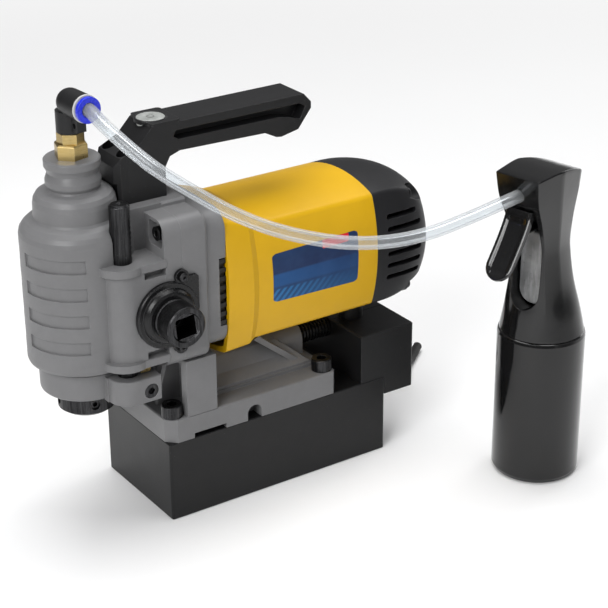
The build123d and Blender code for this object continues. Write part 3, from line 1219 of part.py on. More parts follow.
with BuildPart() as bottle_head:
    loft(sections=[head_section(*row) for row in HEAD_SECTIONS])
    # sloping crown
    prism(BOTTLE_SIDE.offset(-40), CROWN_CUT, 80, Mode.SUBTRACT)
    # collar bore over the bottle's neck, and the pump chamber
    bores(BOTTLE_PLAN.offset(97), 20.05, 9.2)
    bores(BOTTLE_PLAN.offset(106), 13.0, 30.0)
    # recess for the trigger
    prism(BOTTLE_SIDE.offset(-10.4), TRIGGER_RECESS, 20.8, Mode.SUBTRACT)
    # spray port for the hose and the plunger bore
    bores(bottle_across(21.0, PORT_Z), 4.5, 30.0)
    bores(bottle_across(-6.0, PLUNGER_Z), PLUNGER_R + GAP, 30.0)
    # hinge pin holes of the trigger in both cheeks
    bores(BOTTLE_SIDE.offset(-12.6), HINGE_R, 25.2, HINGE_AT)
write(bottle_head, "bottle_head")

with BuildPart() as bottle_trigger:
    prism(BOTTLE_SIDE.offset(-9.2), TRIGGER_OUTLINE, 18.4)
    cross_edges = bottle_trigger.edges().filter_by(Axis((0, 0, 0), BOTTLE_ACROSS))
    fillet(cross_edges.group_by(Axis.Z)[0], 0.8)
    # hollow back of the lever
    prism(BOTTLE_SIDE.offset(-7.0), TRIGGER_HOLLOW, 14.0, Mode.SUBTRACT)
    # pivot pin across the lever
    cylinders(BOTTLE_SIDE.offset(-12.4), HINGE_R - GAP, 24.8, HINGE_AT)
write(bottle_trigger, "bottle_trigger")

with BuildPart() as pump_plunger:
    cylinders(bottle_across(-2.0, PLUNGER_Z), PLUNGER_R, 30.6)
    fillet(pump_plunger.faces().sort_by(Axis.X)[0].edges(), 1.6)
write(pump_plunger, "pump_plunger")
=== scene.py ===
"""Looks for a machine with a magnet, a motor, a bubble level and a coolant bottle.

It stands on z = 0 with +Z up. The motor's labelled side faces -Y. The coolant elbow is
towards -X, and a clear hose runs from it along the -Y side to the bottle at +X.
The CAD pieces get materials; the hose, spray head, trigger and small details are built here.
"""
import json
import math

import bmesh
import bpy
from mathutils import Matrix, Vector


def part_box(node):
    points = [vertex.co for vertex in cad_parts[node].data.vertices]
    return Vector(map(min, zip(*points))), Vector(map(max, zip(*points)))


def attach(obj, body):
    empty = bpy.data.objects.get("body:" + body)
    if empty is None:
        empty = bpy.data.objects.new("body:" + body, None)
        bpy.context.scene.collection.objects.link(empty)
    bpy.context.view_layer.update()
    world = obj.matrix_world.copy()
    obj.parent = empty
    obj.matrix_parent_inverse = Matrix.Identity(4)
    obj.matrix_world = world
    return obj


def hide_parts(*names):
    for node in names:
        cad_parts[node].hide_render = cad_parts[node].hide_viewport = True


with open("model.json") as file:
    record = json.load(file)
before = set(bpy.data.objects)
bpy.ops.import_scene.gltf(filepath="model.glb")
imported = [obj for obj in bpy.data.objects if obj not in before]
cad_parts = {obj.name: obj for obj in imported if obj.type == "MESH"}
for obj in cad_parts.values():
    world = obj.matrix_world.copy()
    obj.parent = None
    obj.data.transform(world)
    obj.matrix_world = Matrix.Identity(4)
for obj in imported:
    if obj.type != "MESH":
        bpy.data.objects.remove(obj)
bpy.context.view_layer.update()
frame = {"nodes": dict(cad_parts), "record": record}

NODES = frame["nodes"]
MM = 0.001


# ------------------------------------------------------------------ node helpers
def srgb(*channels):
    """Linear RGBA from sRGB channels of 0-255."""
    linear = []
    for c in channels:
        c /= 255.0
        linear.append(c / 12.92 if c <= 0.04045 else ((c + 0.055) / 1.055) ** 2.4)
    return tuple(linear) + (1.0,)


def dimmed(colour, factor):
    """The colour times factor, held at 1."""
    return tuple(min(1, c * factor) for c in colour[:3]) + (1,)


class Shading:
    """Node tree of a material or world, with short ways to add linked nodes."""

    def __init__(self, owner, output="OutputMaterial"):
        self.owner = owner
        owner.use_nodes = True
        self.tree = owner.node_tree
        self.tree.nodes.clear()
        self.output = self.node(output)
        self.coords = self.node("TexCoord").outputs

    def node(self, kind, inputs=None, **properties):
        """Add a node; an input given as a socket is linked, any other is set."""
        node = self.tree.nodes.new("ShaderNode" + kind)
        for key, value in properties.items():
            setattr(node, key, value)
        for key, value in (inputs or {}).items():
            if isinstance(value, bpy.types.NodeSocket):
                self.tree.links.new(value, node.inputs[key])
            else:
                node.inputs[key].default_value = value
        return node

    def finish(self, surface):
        self.tree.links.new(surface, self.output.inputs["Surface"])
        return self.owner

    def stretched(self, z_scale, rotation=(0, 0, 0)):
        """Object coordinates scaled along z: below 1 draws texture out, above 1 packs it."""
        inputs = {"Scale": (1.0, 1.0, z_scale), "Rotation": rotation,
                  "Vector": self.coords["Object"]}
        return self.node("Mapping", inputs).outputs["Vector"]

    def noise(self, scale, detail=4.0, roughness=0.55, vector=None):
        inputs = {"Scale": scale, "Detail": detail, "Roughness": roughness,
                  "Vector": vector or self.coords["Object"]}
        return self.node("TexNoise", inputs).outputs["Fac"]

    def voronoi(self, scale, feature):
        inputs = {"Scale": scale, "Vector": self.coords["Object"]}
        return self.node("TexVoronoi", inputs, feature=feature).outputs["Distance"]

    def bands(self, scale, distortion):
        """Stripes that follow one another along x."""
        inputs = {"Scale": scale, "Distortion": distortion, "Vector": self.coords["Object"]}
        wave = self.node("TexWave", inputs, wave_type="BANDS", bands_direction="X")
        return wave.outputs["Fac"]

    def calc(self, operation, *values):
        return self.node("Math", dict(enumerate(values)), operation=operation).outputs[0]

    def plus(self, first, second):
        return self.calc("ADD", first, second)

    def times(self, first, second):
        return self.calc("MULTIPLY", first, second)

    def remap(self, value, span=(0.3, 0.7), to=(0.0, 1.0)):
        """Map value from span onto to, held at the ends."""
        return self.node("MapRange", dict(enumerate((value, *span, *to)))).outputs[0]

    def varied(self, scale, span=(0.3, 0.7), to=(0.0, 1.0), **noise):
        """Noise mapped from span onto to."""
        return self.remap(self.noise(scale, **noise), span, to)

    def mix(self, amount, first, second):
        return self.node("Mix", {0: amount, 6: first, 7: second}, data_type="RGBA").outputs[2]

    def mix_shader(self, amount, first, second):
        return self.node("MixShader", {0: amount, 1: first, 2: second}).outputs[0]

    def two_tone(self, dark, light, scale, **noise):
        """Patches between two sRGB colours."""
        return self.mix(self.varied(scale, **noise), srgb(*dark), srgb(*light))

    def mottled(self, patches, base, variation):
        """An sRGB colour made darker and lighter by variation."""
        base = srgb(*base)
        return self.mix(self.remap(patches), dimmed(base, 1 - variation),
                        dimmed(base, 1 + variation))

    def ramp(self, value, stops):
        node = self.node("ValToRGB", {"Fac": value})
        elements = node.color_ramp.elements
        for i, (position, colour) in enumerate(stops):
            element = elements[i] if i < 2 else elements.new(position)
            element.position = position
            element.color = colour
        return node.outputs["Color"]

    def bevel(self, radius):
        return self.node("Bevel", {"Radius": radius}, samples=4).outputs["Normal"]

    def edge(self, bevel_normal):
        """1 on sharp edges, 0 on flat stretches."""
        flat = self.node("NewGeometry").outputs["True Normal"]
        dot = self.node("VectorMath", {0: bevel_normal, 1: flat}, operation="DOT_PRODUCT")
        return self.remap(self.calc("SUBTRACT", 1.0, dot.outputs["Value"]), span=(0.02, 0.22))

    def bump(self, height, strength, distance, normal=None):
        inputs = {"Strength": strength, "Distance": distance, "Height": height}
        if normal is not None:
            inputs["Normal"] = normal
        return self.node("Bump", inputs).outputs["Normal"]

    def principled(self, colour, roughness, normal=None, metallic=0.0, specular=0.5,
                   coat=0.0, coat_roughness=0.1):
        inputs = {"Base Color": colour, "Roughness": roughness, "Metallic": metallic,
                  "Specular IOR Level": specular, "Coat Weight": coat,
                  "Coat Roughness": coat_roughness}
        if normal is not None:
            inputs["Normal"] = normal
        return self.node("BsdfPrincipled", inputs).outputs["BSDF"]


def new_material(name):
    return Shading(bpy.data.materials.new(name))


# ------------------------------------------------------------------ painted and metal looks
def painted(name, base, light, rough=0.42, radius=0.0006, grain=1400.0, depth=0.14,
            blotch=28.0, vary=0.10, wear_and_highlight=0.55, worn_and_lit=None, pits=0.0, dust=0.0):
    """Painted or moulded surface: fine grain, soft tone changes, edges made lighter by rubbing
    wear and by a painted highlight.

    base, light and the edge colour for wear and painted highlight are sRGB; radius is the edge
    rounding in metres; grain and blotch are noise scales; depth is the bump strength; the rest
    are amounts.
    """
    tree = new_material(name)
    large = tree.noise(scale=blotch, detail=5.0, roughness=0.6)
    medium = tree.noise(scale=blotch * 7, roughness=0.6)
    fine = tree.noise(scale=grain, detail=3.0, roughness=0.6)
    tone = tree.mottled(large, base, vary)
    light_patches = tree.remap(medium, span=(0.35, 0.75), to=(0.0, vary * 1.2))
    tone = tree.mix(light_patches, tone, srgb(*light))
    bevel = tree.bevel(radius)
    # edges lighter: partly rubbing wear, partly a painted highlight of light caught on the edges
    breaks = tree.varied(scale=260.0, roughness=0.65, span=(0.35, 0.62), to=(0.25, 1.0))
    rubbed_and_lit = tree.times(tree.edge(bevel), breaks)
    tone = tree.mix(tree.times(rubbed_and_lit, wear_and_highlight), tone, srgb(*(worn_and_lit or light)))
    if dust:
        specks = tree.varied(scale=900.0, detail=2.0, roughness=0.5,
                             span=(0.70, 0.76), to=(0.0, dust))
        tone = tree.mix(specks, tone, (0.35, 0.35, 0.34, 1))
    roughness = tree.plus(tree.remap(large, to=(rough - 0.05, rough + 0.06)),
                          tree.remap(fine, to=(-0.04, 0.04)))
    # relief: mostly fine grain, with some of the medium patches
    height = tree.plus(tree.times(fine, 0.7), tree.times(medium, 0.5))
    if pits:
        cells = tree.voronoi(scale=420.0, feature="F1")
        height = tree.plus(height, tree.remap(cells, span=(0.0, 0.25), to=(-pits, 0.0)))
    normal = tree.bump(height, strength=depth, distance=0.00025, normal=bevel)
    return tree.finish(tree.principled(tone, roughness, normal, specular=0.30))


def metal(name, base, bright, rough, line_stretch, line_scale, vary=0.12, wear_and_highlight=0.6,
          depth=0.08, speck=0.0, dirt=0.35, tint=None):
    """Machined or oxidised metal: tool lines, specks, edges brightened by wear and by a painted
    highlight, patches of tint.

    base, bright and tint are sRGB; line_stretch scales the tool lines along z;
    depth is the bump strength; the rest are amounts.
    """
    tree = new_material(name)
    bright = srgb(*bright)
    large = tree.noise(scale=35.0, detail=5.0, roughness=0.6)
    fine = tree.noise(scale=1600.0, detail=3.0, roughness=0.6)
    tone = tree.mottled(large, base, vary)
    if tint:
        patches = tree.varied(scale=60.0, roughness=0.7, span=(0.45, 0.75), to=(0.0, dirt))
        tone = tree.mix(patches, tone, srgb(*tint))
    bevel = tree.bevel(radius=0.0004)
    # edges brighter: partly wear, partly a painted highlight of light caught on the edges
    breaks = tree.varied(scale=350.0, span=(0.35, 0.6), to=(0.3, 1.0))
    tone = tree.mix(tree.times(tree.times(tree.edge(bevel), wear_and_highlight), breaks), tone, bright)
    if speck:
        specks = tree.varied(scale=1100.0, detail=2.0, roughness=0.6,
                             span=(0.66, 0.74), to=(0.0, speck))
        tone = tree.mix(specks, tone, bright)
    lines = tree.noise(scale=line_scale, detail=3.0, roughness=0.7,
                       vector=tree.stretched(line_stretch))
    # relief: tool lines with a little grain
    height = tree.plus(tree.times(fine, 0.4), lines)
    tone = tree.mix(tree.remap(lines, span=(0.35, 0.7), to=(0.0, 0.22)), tone, bright)
    normal = tree.bump(height, strength=depth, distance=0.0002, normal=bevel)
    roughness = tree.remap(tree.plus(large, tree.times(fine, 0.5)), span=(0.45, 1.05),
                           to=(rough - 0.08, rough + 0.1))
    return tree.finish(tree.principled(tone, roughness, normal, metallic=1.0))


# In each look the edge colour and its amount stand for rubbing wear together with a painted
# highlight on the edges.
PAINTS = {
    "grey_casting": dict(
        base=(108, 108, 109), light=(140, 140, 141), worn_and_lit=(158, 158, 159), rough=0.38,
        grain=1500, depth=0.16, blotch=22, vary=0.07, wear_and_highlight=0.45, pits=0.12),
    "magnet_paint": dict(
        base=(14, 14, 15), light=(30, 30, 31), worn_and_lit=(110, 110, 112), rough=0.36,
        radius=0.0004, grain=1100, depth=0.10, blotch=16, vary=0.16, wear_and_highlight=0.75, dust=0.10),
    "yellow_shell": dict(
        base=(206, 160, 8), light=(220, 176, 34), worn_and_lit=(236, 196, 84), rough=0.40,
        radius=0.0005, grain=2100, depth=0.11, blotch=18, vary=0.05, wear_and_highlight=0.30),
    "black_shell": dict(
        base=(22, 22, 23), light=(42, 42, 44), worn_and_lit=(92, 92, 94),
        radius=0.0005, grain=1900, depth=0.16, blotch=20, dust=0.06),
    "cap_shell": dict(
        base=(28, 28, 30), light=(50, 50, 52), worn_and_lit=(90, 90, 93), rough=0.46,
        radius=0.0005, grain=1700, depth=0.20, blotch=20, vary=0.08, wear_and_highlight=0.45),
    "box_shell": dict(
        base=(19, 19, 20), light=(38, 38, 40), worn_and_lit=(88, 88, 90), rough=0.45,
        grain=1300, depth=0.22, blotch=24, wear_and_highlight=0.6, dust=0.05),
    "cover_paint": dict(
        base=(16, 16, 17), light=(36, 36, 38), worn_and_lit=(120, 120, 122), rough=0.28,
        radius=0.0004, grain=800, depth=0.12, blotch=40, vary=0.12, wear_and_highlight=0.7, dust=0.22),
    "fitting_black": dict(
        base=(24, 24, 25), light=(46, 46, 48), worn_and_lit=(88, 88, 90), rough=0.38,
        radius=0.0005, grain=2200, depth=0.10, blotch=60, vary=0.08, wear_and_highlight=0.45),
    "black_rubber": dict(
        base=(18, 18, 18), light=(34, 34, 34), worn_and_lit=(66, 66, 66), rough=0.60,
        radius=0.0005, grain=900, depth=0.22, blotch=45, vary=0.14, wear_and_highlight=0.35, dust=0.12),
    "conduit_plastic": dict(
        base=(14, 14, 14), light=(34, 34, 34), worn_and_lit=(96, 96, 96), rough=0.24,
        radius=0.0003, grain=1200, depth=0.08, blotch=80, wear_and_highlight=0.35),
    "fan_plastic": dict(
        base=(48, 48, 50), light=(72, 72, 74), rough=0.5, grain=1500, vary=0.08, wear_and_highlight=0.4),
    "potting_resin": dict(
        base=(24, 24, 25), light=(46, 46, 48), rough=0.2,
        grain=300, depth=0.15, blotch=60, vary=0.2, wear_and_highlight=0.2),
    "rocker_red": dict(
        base=(172, 22, 16), light=(206, 60, 50), rough=0.28, grain=2400, depth=0.05, vary=0.06),
    "rocker_green": dict(
        base=(24, 118, 52), light=(70, 160, 92), rough=0.28, grain=2400, depth=0.05, vary=0.06),
    "carbon": dict(
        base=(44, 44, 46), light=(84, 84, 88), rough=0.6,
        grain=3000, depth=0.35, blotch=300, vary=0.3),
}
# In each metal the edge amount brightens the edges for wear together with a painted highlight.
METALS = {
    "brass": dict(
        base=(178, 154, 98), bright=(228, 212, 168), tint=(104, 86, 50), rough=0.28,
        line_stretch=14.0, line_scale=160, wear_and_highlight=0.75, dirt=0.5, depth=0.10),
    "black_oxide": dict(
        base=(38, 38, 39), bright=(128, 128, 130), rough=0.36,
        line_stretch=0.05, line_scale=900, speck=0.35, vary=0.2, wear_and_highlight=0.7, depth=0.10),
    "ground_steel": dict(
        base=(158, 158, 160), bright=(224, 224, 226), tint=(96, 92, 84), rough=0.26,
        line_stretch=20.0, line_scale=120, vary=0.08, wear_and_highlight=0.5, dirt=0.3),
}


# ------------------------------------------------------------------ other looks
def laminated_steel():
    tree = new_material("laminated_steel")
    sheets = tree.bands(scale=320.0, distortion=0.5)
    tone = tree.mix(tree.remap(sheets, span=(0.2, 0.8)), srgb(74, 72, 70), srgb(140, 138, 136))
    brown = tree.varied(scale=90.0, span=(0.4, 0.7), to=(0, 0.5))
    tone = tree.mix(brown, tone, srgb(88, 74, 60))
    return tree.finish(tree.principled(
        tone, tree.varied(scale=500.0, to=(0.35, 0.5)),
        tree.bump(sheets, strength=0.4, distance=0.0002), metallic=1.0))


def copper_winding():
    tree = new_material("copper_winding")
    copper = srgb(150, 84, 44)
    wires = tree.bands(scale=260.0, distortion=1.4)
    tone = tree.mix(tree.remap(wires, span=(0.1, 0.9)), copper, srgb(214, 138, 84))
    dark_patches = tree.varied(scale=140.0, span=(0.4, 0.7), to=(0, 0.4))
    tone = tree.mix(dark_patches, tone, dimmed(copper, 0.4))
    return tree.finish(tree.principled(
        tone, tree.varied(scale=300.0, to=(0.22, 0.38)),
        tree.bump(wires, strength=0.6, distance=0.0004), metallic=1.0, coat=0.5))


def board():
    """Green board with paler tracks and small pale dots."""
    tree = new_material("board")
    cells = tree.voronoi(scale=190.0, feature="DISTANCE_TO_EDGE")
    tracks = tree.remap(cells, span=(0.03, 0.06), to=(1.0, 0.0))
    tone = tree.mix(tracks, srgb(18, 84, 42), srgb(66, 138, 74))
    tone = tree.mix(tree.varied(scale=220.0, span=(0.68, 0.72)), tone, srgb(196, 196, 188))
    return tree.finish(tree.principled(
        tone, tree.varied(scale=400.0, to=(0.25, 0.4)),
        tree.bump(tracks, strength=0.3, distance=0.0002), coat=0.3))


def bottle_gloss():
    """Glossy black plastic: slow ripples that bend reflections, dust, hairline scratches."""
    tree = new_material("bottle_gloss")
    ripple = tree.noise(scale=75.0, detail=2.0, roughness=0.5)
    tone = tree.two_tone((9, 9, 9), (17, 17, 18), scale=30.0, detail=2.0, roughness=0.5)
    dust = tree.varied(scale=1500.0, detail=2.0, roughness=0.5, span=(0.73, 0.78), to=(0.0, 0.5))
    tone = tree.mix(dust, tone, srgb(120, 120, 118))
    bevel = tree.bevel(radius=0.0006)
    # edges paler grey: a painted highlight along the edges, with some rubbing wear
    tone = tree.mix(tree.times(tree.edge(bevel), 0.35), tone, srgb(70, 70, 72))
    scratches = tree.varied(scale=900.0, detail=2.0, roughness=0.6, span=(0.66, 0.74),
                            to=(0.0, 0.12),
                            vector=tree.stretched(z_scale=0.03, rotation=(0.3, 0.2, 0)))
    roughness = tree.plus(tree.varied(scale=45.0, to=(0.07, 0.16)), scratches)
    normal = tree.bump(ripple, strength=0.10, distance=0.0012, normal=bevel)
    return tree.finish(tree.principled(tone, roughness, normal, specular=0.4,
                                       coat=0.15, coat_roughness=0.06))


def blue_ring():
    tree = new_material("blue_ring")
    tone = tree.two_tone((18, 32, 186), (30, 50, 214), scale=120.0)
    bevel = tree.bevel(radius=0.0004)
    # edges paler blue: a painted highlight along the edges, with some rubbing wear
    tone = tree.mix(tree.times(tree.edge(bevel), 0.5), tone, srgb(90, 110, 240))
    normal = tree.bump(tree.noise(scale=1800.0), strength=0.08, distance=0.0002, normal=bevel)
    return tree.finish(tree.principled(tone, tree.varied(scale=500.0, to=(0.22, 0.34)), normal))


def clear_hose():
    """Soft clear tube: mostly see-through, milky where the wall is seen on edge."""
    tree = new_material("clear_hose")
    view = tree.node("LayerWeight", {"Blend": 0.38}).outputs
    soft = tree.noise(scale=45.0, detail=2.0, roughness=0.5)
    milk_tone = tree.mix(tree.remap(soft), (0.74, 0.76, 0.77, 1), (0.84, 0.85, 0.86, 1))
    milk = tree.node("BsdfDiffuse", {"Color": milk_tone})
    clear = tree.node("BsdfTransparent", {"Color": (0.94, 0.955, 0.965, 1)})
    gloss = tree.node("BsdfGlossy", {
        "Color": (0.9, 0.91, 0.92, 1),
        "Roughness": tree.remap(soft, to=(0.18, 0.24)),
        "Normal": tree.bump(soft, strength=0.04, distance=0.0004)})
    milkiness = tree.remap(view["Facing"], span=(0.15, 1.0), to=(0.08, 0.42))
    wall = tree.mix_shader(milkiness, clear.outputs[0], milk.outputs[0])
    shine = tree.times(view["Fresnel"], 0.36)
    return tree.finish(tree.mix_shader(shine, wall, gloss.outputs[0]))


def pump_plastic():
    """Milky plastic of the pump seen through the window, with paler upright streaks that paint
    in a vertical highlight.
    """
    tree = new_material("pump_plastic")
    tone = tree.two_tone((96, 97, 98), (150, 151, 152), scale=60.0, detail=3.0)
    # paler upright streaks: a painted highlight running up the pump
    sheen_streaks = tree.varied(scale=240.0, detail=3.0, roughness=0.6, span=(0.45, 0.7),
                          to=(0, 0.5), vector=tree.stretched(z_scale=0.2))
    tone = tree.mix(sheen_streaks, tone, srgb(186, 187, 188))
    return tree.finish(tree.principled(
        tone, tree.varied(scale=500.0, to=(0.25, 0.4)),
        tree.bump(tree.noise(scale=300.0), strength=0.1, distance=0.0005)))


def level_glass():
    tree = new_material("level_glass")
    tone = tree.two_tone((138, 141, 138), (172, 175, 172), scale=200.0)
    normal = tree.bump(tree.noise(scale=900.0), strength=0.05, distance=0.0002,
                       normal=tree.bevel(radius=0.0003))
    return tree.finish(tree.principled(
        tone, tree.varied(scale=700.0, to=(0.12, 0.24)), normal, coat=0.6))


MATERIALS = {name: painted(name, **look) for name, look in PAINTS.items()}
MATERIALS.update({name: metal(name, **look) for name, look in METALS.items()})
MATERIALS.update(
    laminated_steel=laminated_steel(), copper_winding=copper_winding(), board=board(),
    bottle_gloss=bottle_gloss(), blue_ring=blue_ring(), clear_hose=clear_hose(),
    pump_plastic=pump_plastic(), level_glass=level_glass())

# CAD pieces whose material is not the one named by their slot
SPECIAL = {"end_cap": "cap_shell", "control_box": "box_shell", "switch_plate": "box_shell",
           "feed_cover": "cover_paint", "feed_shaft": "black_oxide",
           "elbow_body": "fitting_black", "lead_stem": "black_shell"}
SLOTS = {part["node"]: part["material_slot"] for part in frame["record"]["subparts"]}
for name, node in NODES.items():
    node.data.materials.clear()
    node.data.materials.append(MATERIALS[SPECIAL.get(name, SLOTS[name])])


# ------------------------------------------------------------------ mesh helpers
def into_scene(name, mesh, material, smooth):
    for polygon in mesh.polygons:
        polygon.use_smooth = smooth
    mesh.materials.append(material)
    obj = bpy.data.objects.new(name, mesh)
    bpy.context.scene.collection.objects.link(obj)
    return obj


def piece(name, verts, faces, material, smooth=True):
    """Object with doubled points merged and normals turned outwards."""
    mesh = bpy.data.meshes.new(name)
    mesh.from_pydata([Vector(v) for v in verts], [], faces)
    mesh.validate()
    bm = bmesh.new()
    bm.from_mesh(mesh)
    bmesh.ops.remove_doubles(bm, verts=bm.verts, dist=1e-7)
    bmesh.ops.recalc_face_normals(bm, faces=bm.faces)
    bm.to_mesh(mesh)
    bm.free()
    obj = into_scene(name, mesh, material, smooth)
    return obj


def crease(obj, degrees, dissolve=None):
    """Shade smooth across edges flatter than degrees, first dissolving tiny edges."""
    bm = bmesh.new()
    bm.from_mesh(obj.data)
    if dissolve:
        bmesh.ops.dissolve_degenerate(bm, edges=bm.edges, dist=dissolve)
    for edge in bm.edges:
        flat = edge.calc_face_angle(0.0) < math.radians(degrees)
        edge.smooth = len(edge.link_faces) == 2 and flat
    for face in bm.faces:
        face.smooth = True
    bm.to_mesh(obj.data)
    bm.free()


def spline_points(controls, step):
    """Catmull-Rom curve through the controls, with points about one step apart."""
    pts = [Vector(c) for c in controls]
    pts = [pts[0] * 2 - pts[1]] + pts + [pts[-1] * 2 - pts[-2]]
    curve = []
    for i in range(1, len(pts) - 2):
        p0, p1, p2, p3 = pts[i - 1:i + 3]
        count = max(2, int((p2 - p1).length / step))
        for k in range(count):
            u = k / count
            curve.append(0.5 * ((2 * p1) + (p2 - p0) * u
                                + (2 * p0 - 5 * p1 + 4 * p2 - p3) * u * u
                                + (3 * p1 - p0 - 3 * p2 + p3) * u ** 3))
    curve.append(pts[-2])
    return curve


def tangent(points, i):
    return (points[min(len(points) - 1, i + 1)] - points[max(0, i - 1)]).normalized()


def cross_axes(points):
    """Two axes across the line at each point, carried along without twist."""
    start = tangent(points, 0)
    ref = Vector((0, 0, 1))
    if abs(ref.dot(start)) > 0.9:
        ref = Vector((1, 0, 0))
    u = (ref - start * ref.dot(start)).normalized()
    axes = []
    for i in range(len(points)):
        ahead = tangent(points, i)
        u = (u - ahead * u.dot(ahead)).normalized()
        axes.append((u, ahead.cross(u)))
    return axes


def tube(name, points, outer, inner, segments, material):
    """Hollow tube along a line, closed by ring faces at both ends."""
    axes = cross_axes(points)
    verts, faces = [], []
    for radius in (outer, inner):
        for point, (u, v) in zip(points, axes):
            for k in range(segments):
                a = 2 * math.pi * k / segments
                verts.append(point + (u * math.cos(a) + v * math.sin(a)) * radius)
    count = len(points)

    def index(wall, i, k):
        return (wall * count + i) * segments + k % segments

    for i in range(count - 1):
        for k in range(segments):
            faces.append((index(0, i, k), index(0, i, k + 1),
                          index(0, i + 1, k + 1), index(0, i + 1, k)))
            faces.append((index(1, i, k), index(1, i + 1, k),
                          index(1, i + 1, k + 1), index(1, i, k + 1)))
    for i in (0, count - 1):
        for k in range(segments):
            faces.append((index(0, i, k), index(0, i, k + 1),
                          index(1, i, k + 1), index(1, i, k)))
    return piece(name, verts, faces, material)


def lathe(name, origin, axis, profile, segments, material, smooth=True):
    """Closed ring turned from (distance along axis, radius) pairs."""
    axis = Vector(axis).normalized()
    ref = Vector((0, 0, 1)) if abs(axis.z) < 0.9 else Vector((1, 0, 0))
    u = (ref - axis * ref.dot(axis)).normalized()
    v = axis.cross(u)
    verts, faces = [], []
    count = len(profile)
    for k in range(segments):
        a = 2 * math.pi * k / segments
        for distance, radius in profile:
            verts.append(Vector(origin) + axis * distance
                         + (u * math.cos(a) + v * math.sin(a)) * radius)
    for k in range(segments):
        here, there = k * count, ((k + 1) % segments) * count
        for i in range(count):
            j = (i + 1) % count
            faces.append((here + i, here + j, there + j, there + i))
    return piece(name, verts, faces, material, smooth)


def two_skin_faces(across, lengthwise):
    """Faces of two equal grids of points, one behind the other, joined round the rim."""
    columns = across + 1
    skin = (lengthwise + 1) * columns
    last = lengthwise * columns
    faces = []
    for j in range(lengthwise):
        for i in range(across):
            a = j * columns + i
            faces.append((a, a + 1, a + 1 + columns, a + columns))
            faces.append((skin + a, skin + a + columns, skin + a + 1 + columns, skin + a + 1))
    rim = list(range(across))
    rim += [j * columns + across for j in range(lengthwise)]
    rim += [last + across - i for i in range(across)]
    rim += [last - j * columns for j in range(lengthwise)]
    for a, b in zip(rim, rim[1:] + rim[:1]):
        faces.append((b, a, skin + a, skin + b))
    return faces


# ------------------------------------------------------------------ shared places
ELBOW = Vector((-0.113, 0, 0.2636))
ELBOW_ANGLE = math.radians(-86.0)     # outlet direction about z, from +X
ELBOW_AXIS = Vector((math.cos(ELBOW_ANGLE), math.sin(ELBOW_ANGLE), 0))
BOTTLE = Vector((0.147, -0.112, 0))
BOTTLE_FRONT = Vector((-0.978, -0.208, 0))
BOTTLE_SIDE = Vector((-BOTTLE_FRONT.y, BOTTLE_FRONT.x, 0))
SOCKET_Z = 193.0                      # hose socket in the spray head, mm


def outlet(distance):
    """Point on the elbow's outlet axis, distance in mm."""
    return ELBOW + ELBOW_AXIS * (distance * MM)


def bottle(front, side, z):
    """Point by mm ahead of the bottle's axis, mm to its side, and height in mm."""
    return (BOTTLE + BOTTLE_FRONT * (front * MM) + BOTTLE_SIDE * (side * MM)
            + Vector((0, 0, z * MM)))


# ------------------------------------------------------------------ clear hose
# x, y, z in mm, from the elbow to the bottle
HOSE_RUN = (
    (-110.7, -44.0, 257.8), (-99.7, -67.0, 243.0), (-83.7, -81.0, 229.5),
    (-64.3, -90.0, 215.3), (-43.1, -97.0, 203.3), (-20.7, -103.0, 194.1),
    (3.4, -107.5, 187.0), (28.5, -111.5, 183.2), (54.9, -114.5, 183.2),
    (82.2, -117.2, 187.4), (103.0, -118.9, 191.4))

hose_line = [outlet(distance) for distance in (6, 14, 23)]
hose_line += [Vector(point) * MM for point in HOSE_RUN]
hose_line += [bottle(front, 0, SOCKET_Z) for front in (30, 22)]
hose = tube("clear_coolant_hose", spline_points(hose_line, step=0.0022), outer=0.00392,
            inner=0.0027, segments=40, material=MATERIALS["clear_hose"])
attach(hose, "coolant_line")
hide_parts("coolant_hose")

# ------------------------------------------------------------------ pale ring on the elbow
# distance along the outlet, radius
FITTING_RING = [(0, 0.00545), (0, 0.0078), (0.0003, 0.00815),
                (0.0010, 0.00815), (0.0013, 0.0078), (0.0013, 0.00545)]

ring_white = painted("ring_white", base=(188, 188, 186), light=(220, 220, 218), rough=0.3,
                     grain=1800, depth=0.08, blotch=90, vary=0.06)
ring = lathe("fitting_ring", outlet(17.62), ELBOW_AXIS, FITTING_RING, segments=64,
             material=ring_white, smooth=False)
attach(ring, "coolant_line")


# ------------------------------------------------------------------ label
def label_finish(tree, tone):
    return tree.finish(tree.principled(
        tone, tree.varied(scale=400.0, to=(0.36, 0.46)),
        tree.bump(tree.noise(scale=1200.0), strength=0.06, distance=0.0002), specular=0.25))


def label_print():
    """Navy print with a bright band and slanted stripes; x and y run 0-1 over the label."""
    tree = new_material("label_print")
    uv = tree.node("UVMap", uv_map="label").outputs["UV"]
    x, y = tree.node("SeparateXYZ", {0: uv}).outputs[:2]
    tone = tree.ramp(y, [(0.0, srgb(24, 70, 114)), (0.34, srgb(18, 50, 92)),
                         (0.62, srgb(16, 36, 74)), (1.0, srgb(20, 42, 78))])
    # bright band that fades to the right
    band = tree.times(tree.remap(y, span=(0.30, 0.34)),
                      tree.remap(y, span=(0.56, 0.60), to=(1, 0)))
    band = tree.times(band, tree.remap(x, span=(0.1, 0.9), to=(0.9, 0.25)))
    tone = tree.mix(band, tone, srgb(20, 74, 128))
    # stripes along the bottom, leaning 0.45 across per unit up, 13 to the width
    slant = tree.plus(x, tree.times(y, -0.45))
    saw = tree.calc("FRACT", tree.times(slant, 13.0))
    stripes = tree.times(tree.calc("LESS_THAN", saw, 0.5),
                         tree.remap(y, span=(0.25, 0.28), to=(1, 0)))
    stripes = tree.times(stripes, tree.remap(x, span=(0.0, 0.85), to=(0.95, 0.05)))
    tone = tree.mix(stripes, tone, srgb(34, 106, 160))
    tone = tree.mix(tree.varied(scale=90.0, to=(0, 0.12)), tone, srgb(60, 100, 150))
    return label_finish(tree, tone)


def label_red():
    tree = new_material("label_red")
    return label_finish(tree, tree.two_tone((196, 22, 34), (212, 40, 50), scale=120.0))


RAY_START_Y = -0.2
FALLBACK_Y = -0.0415    # face of the motor's side where a ray misses the housing


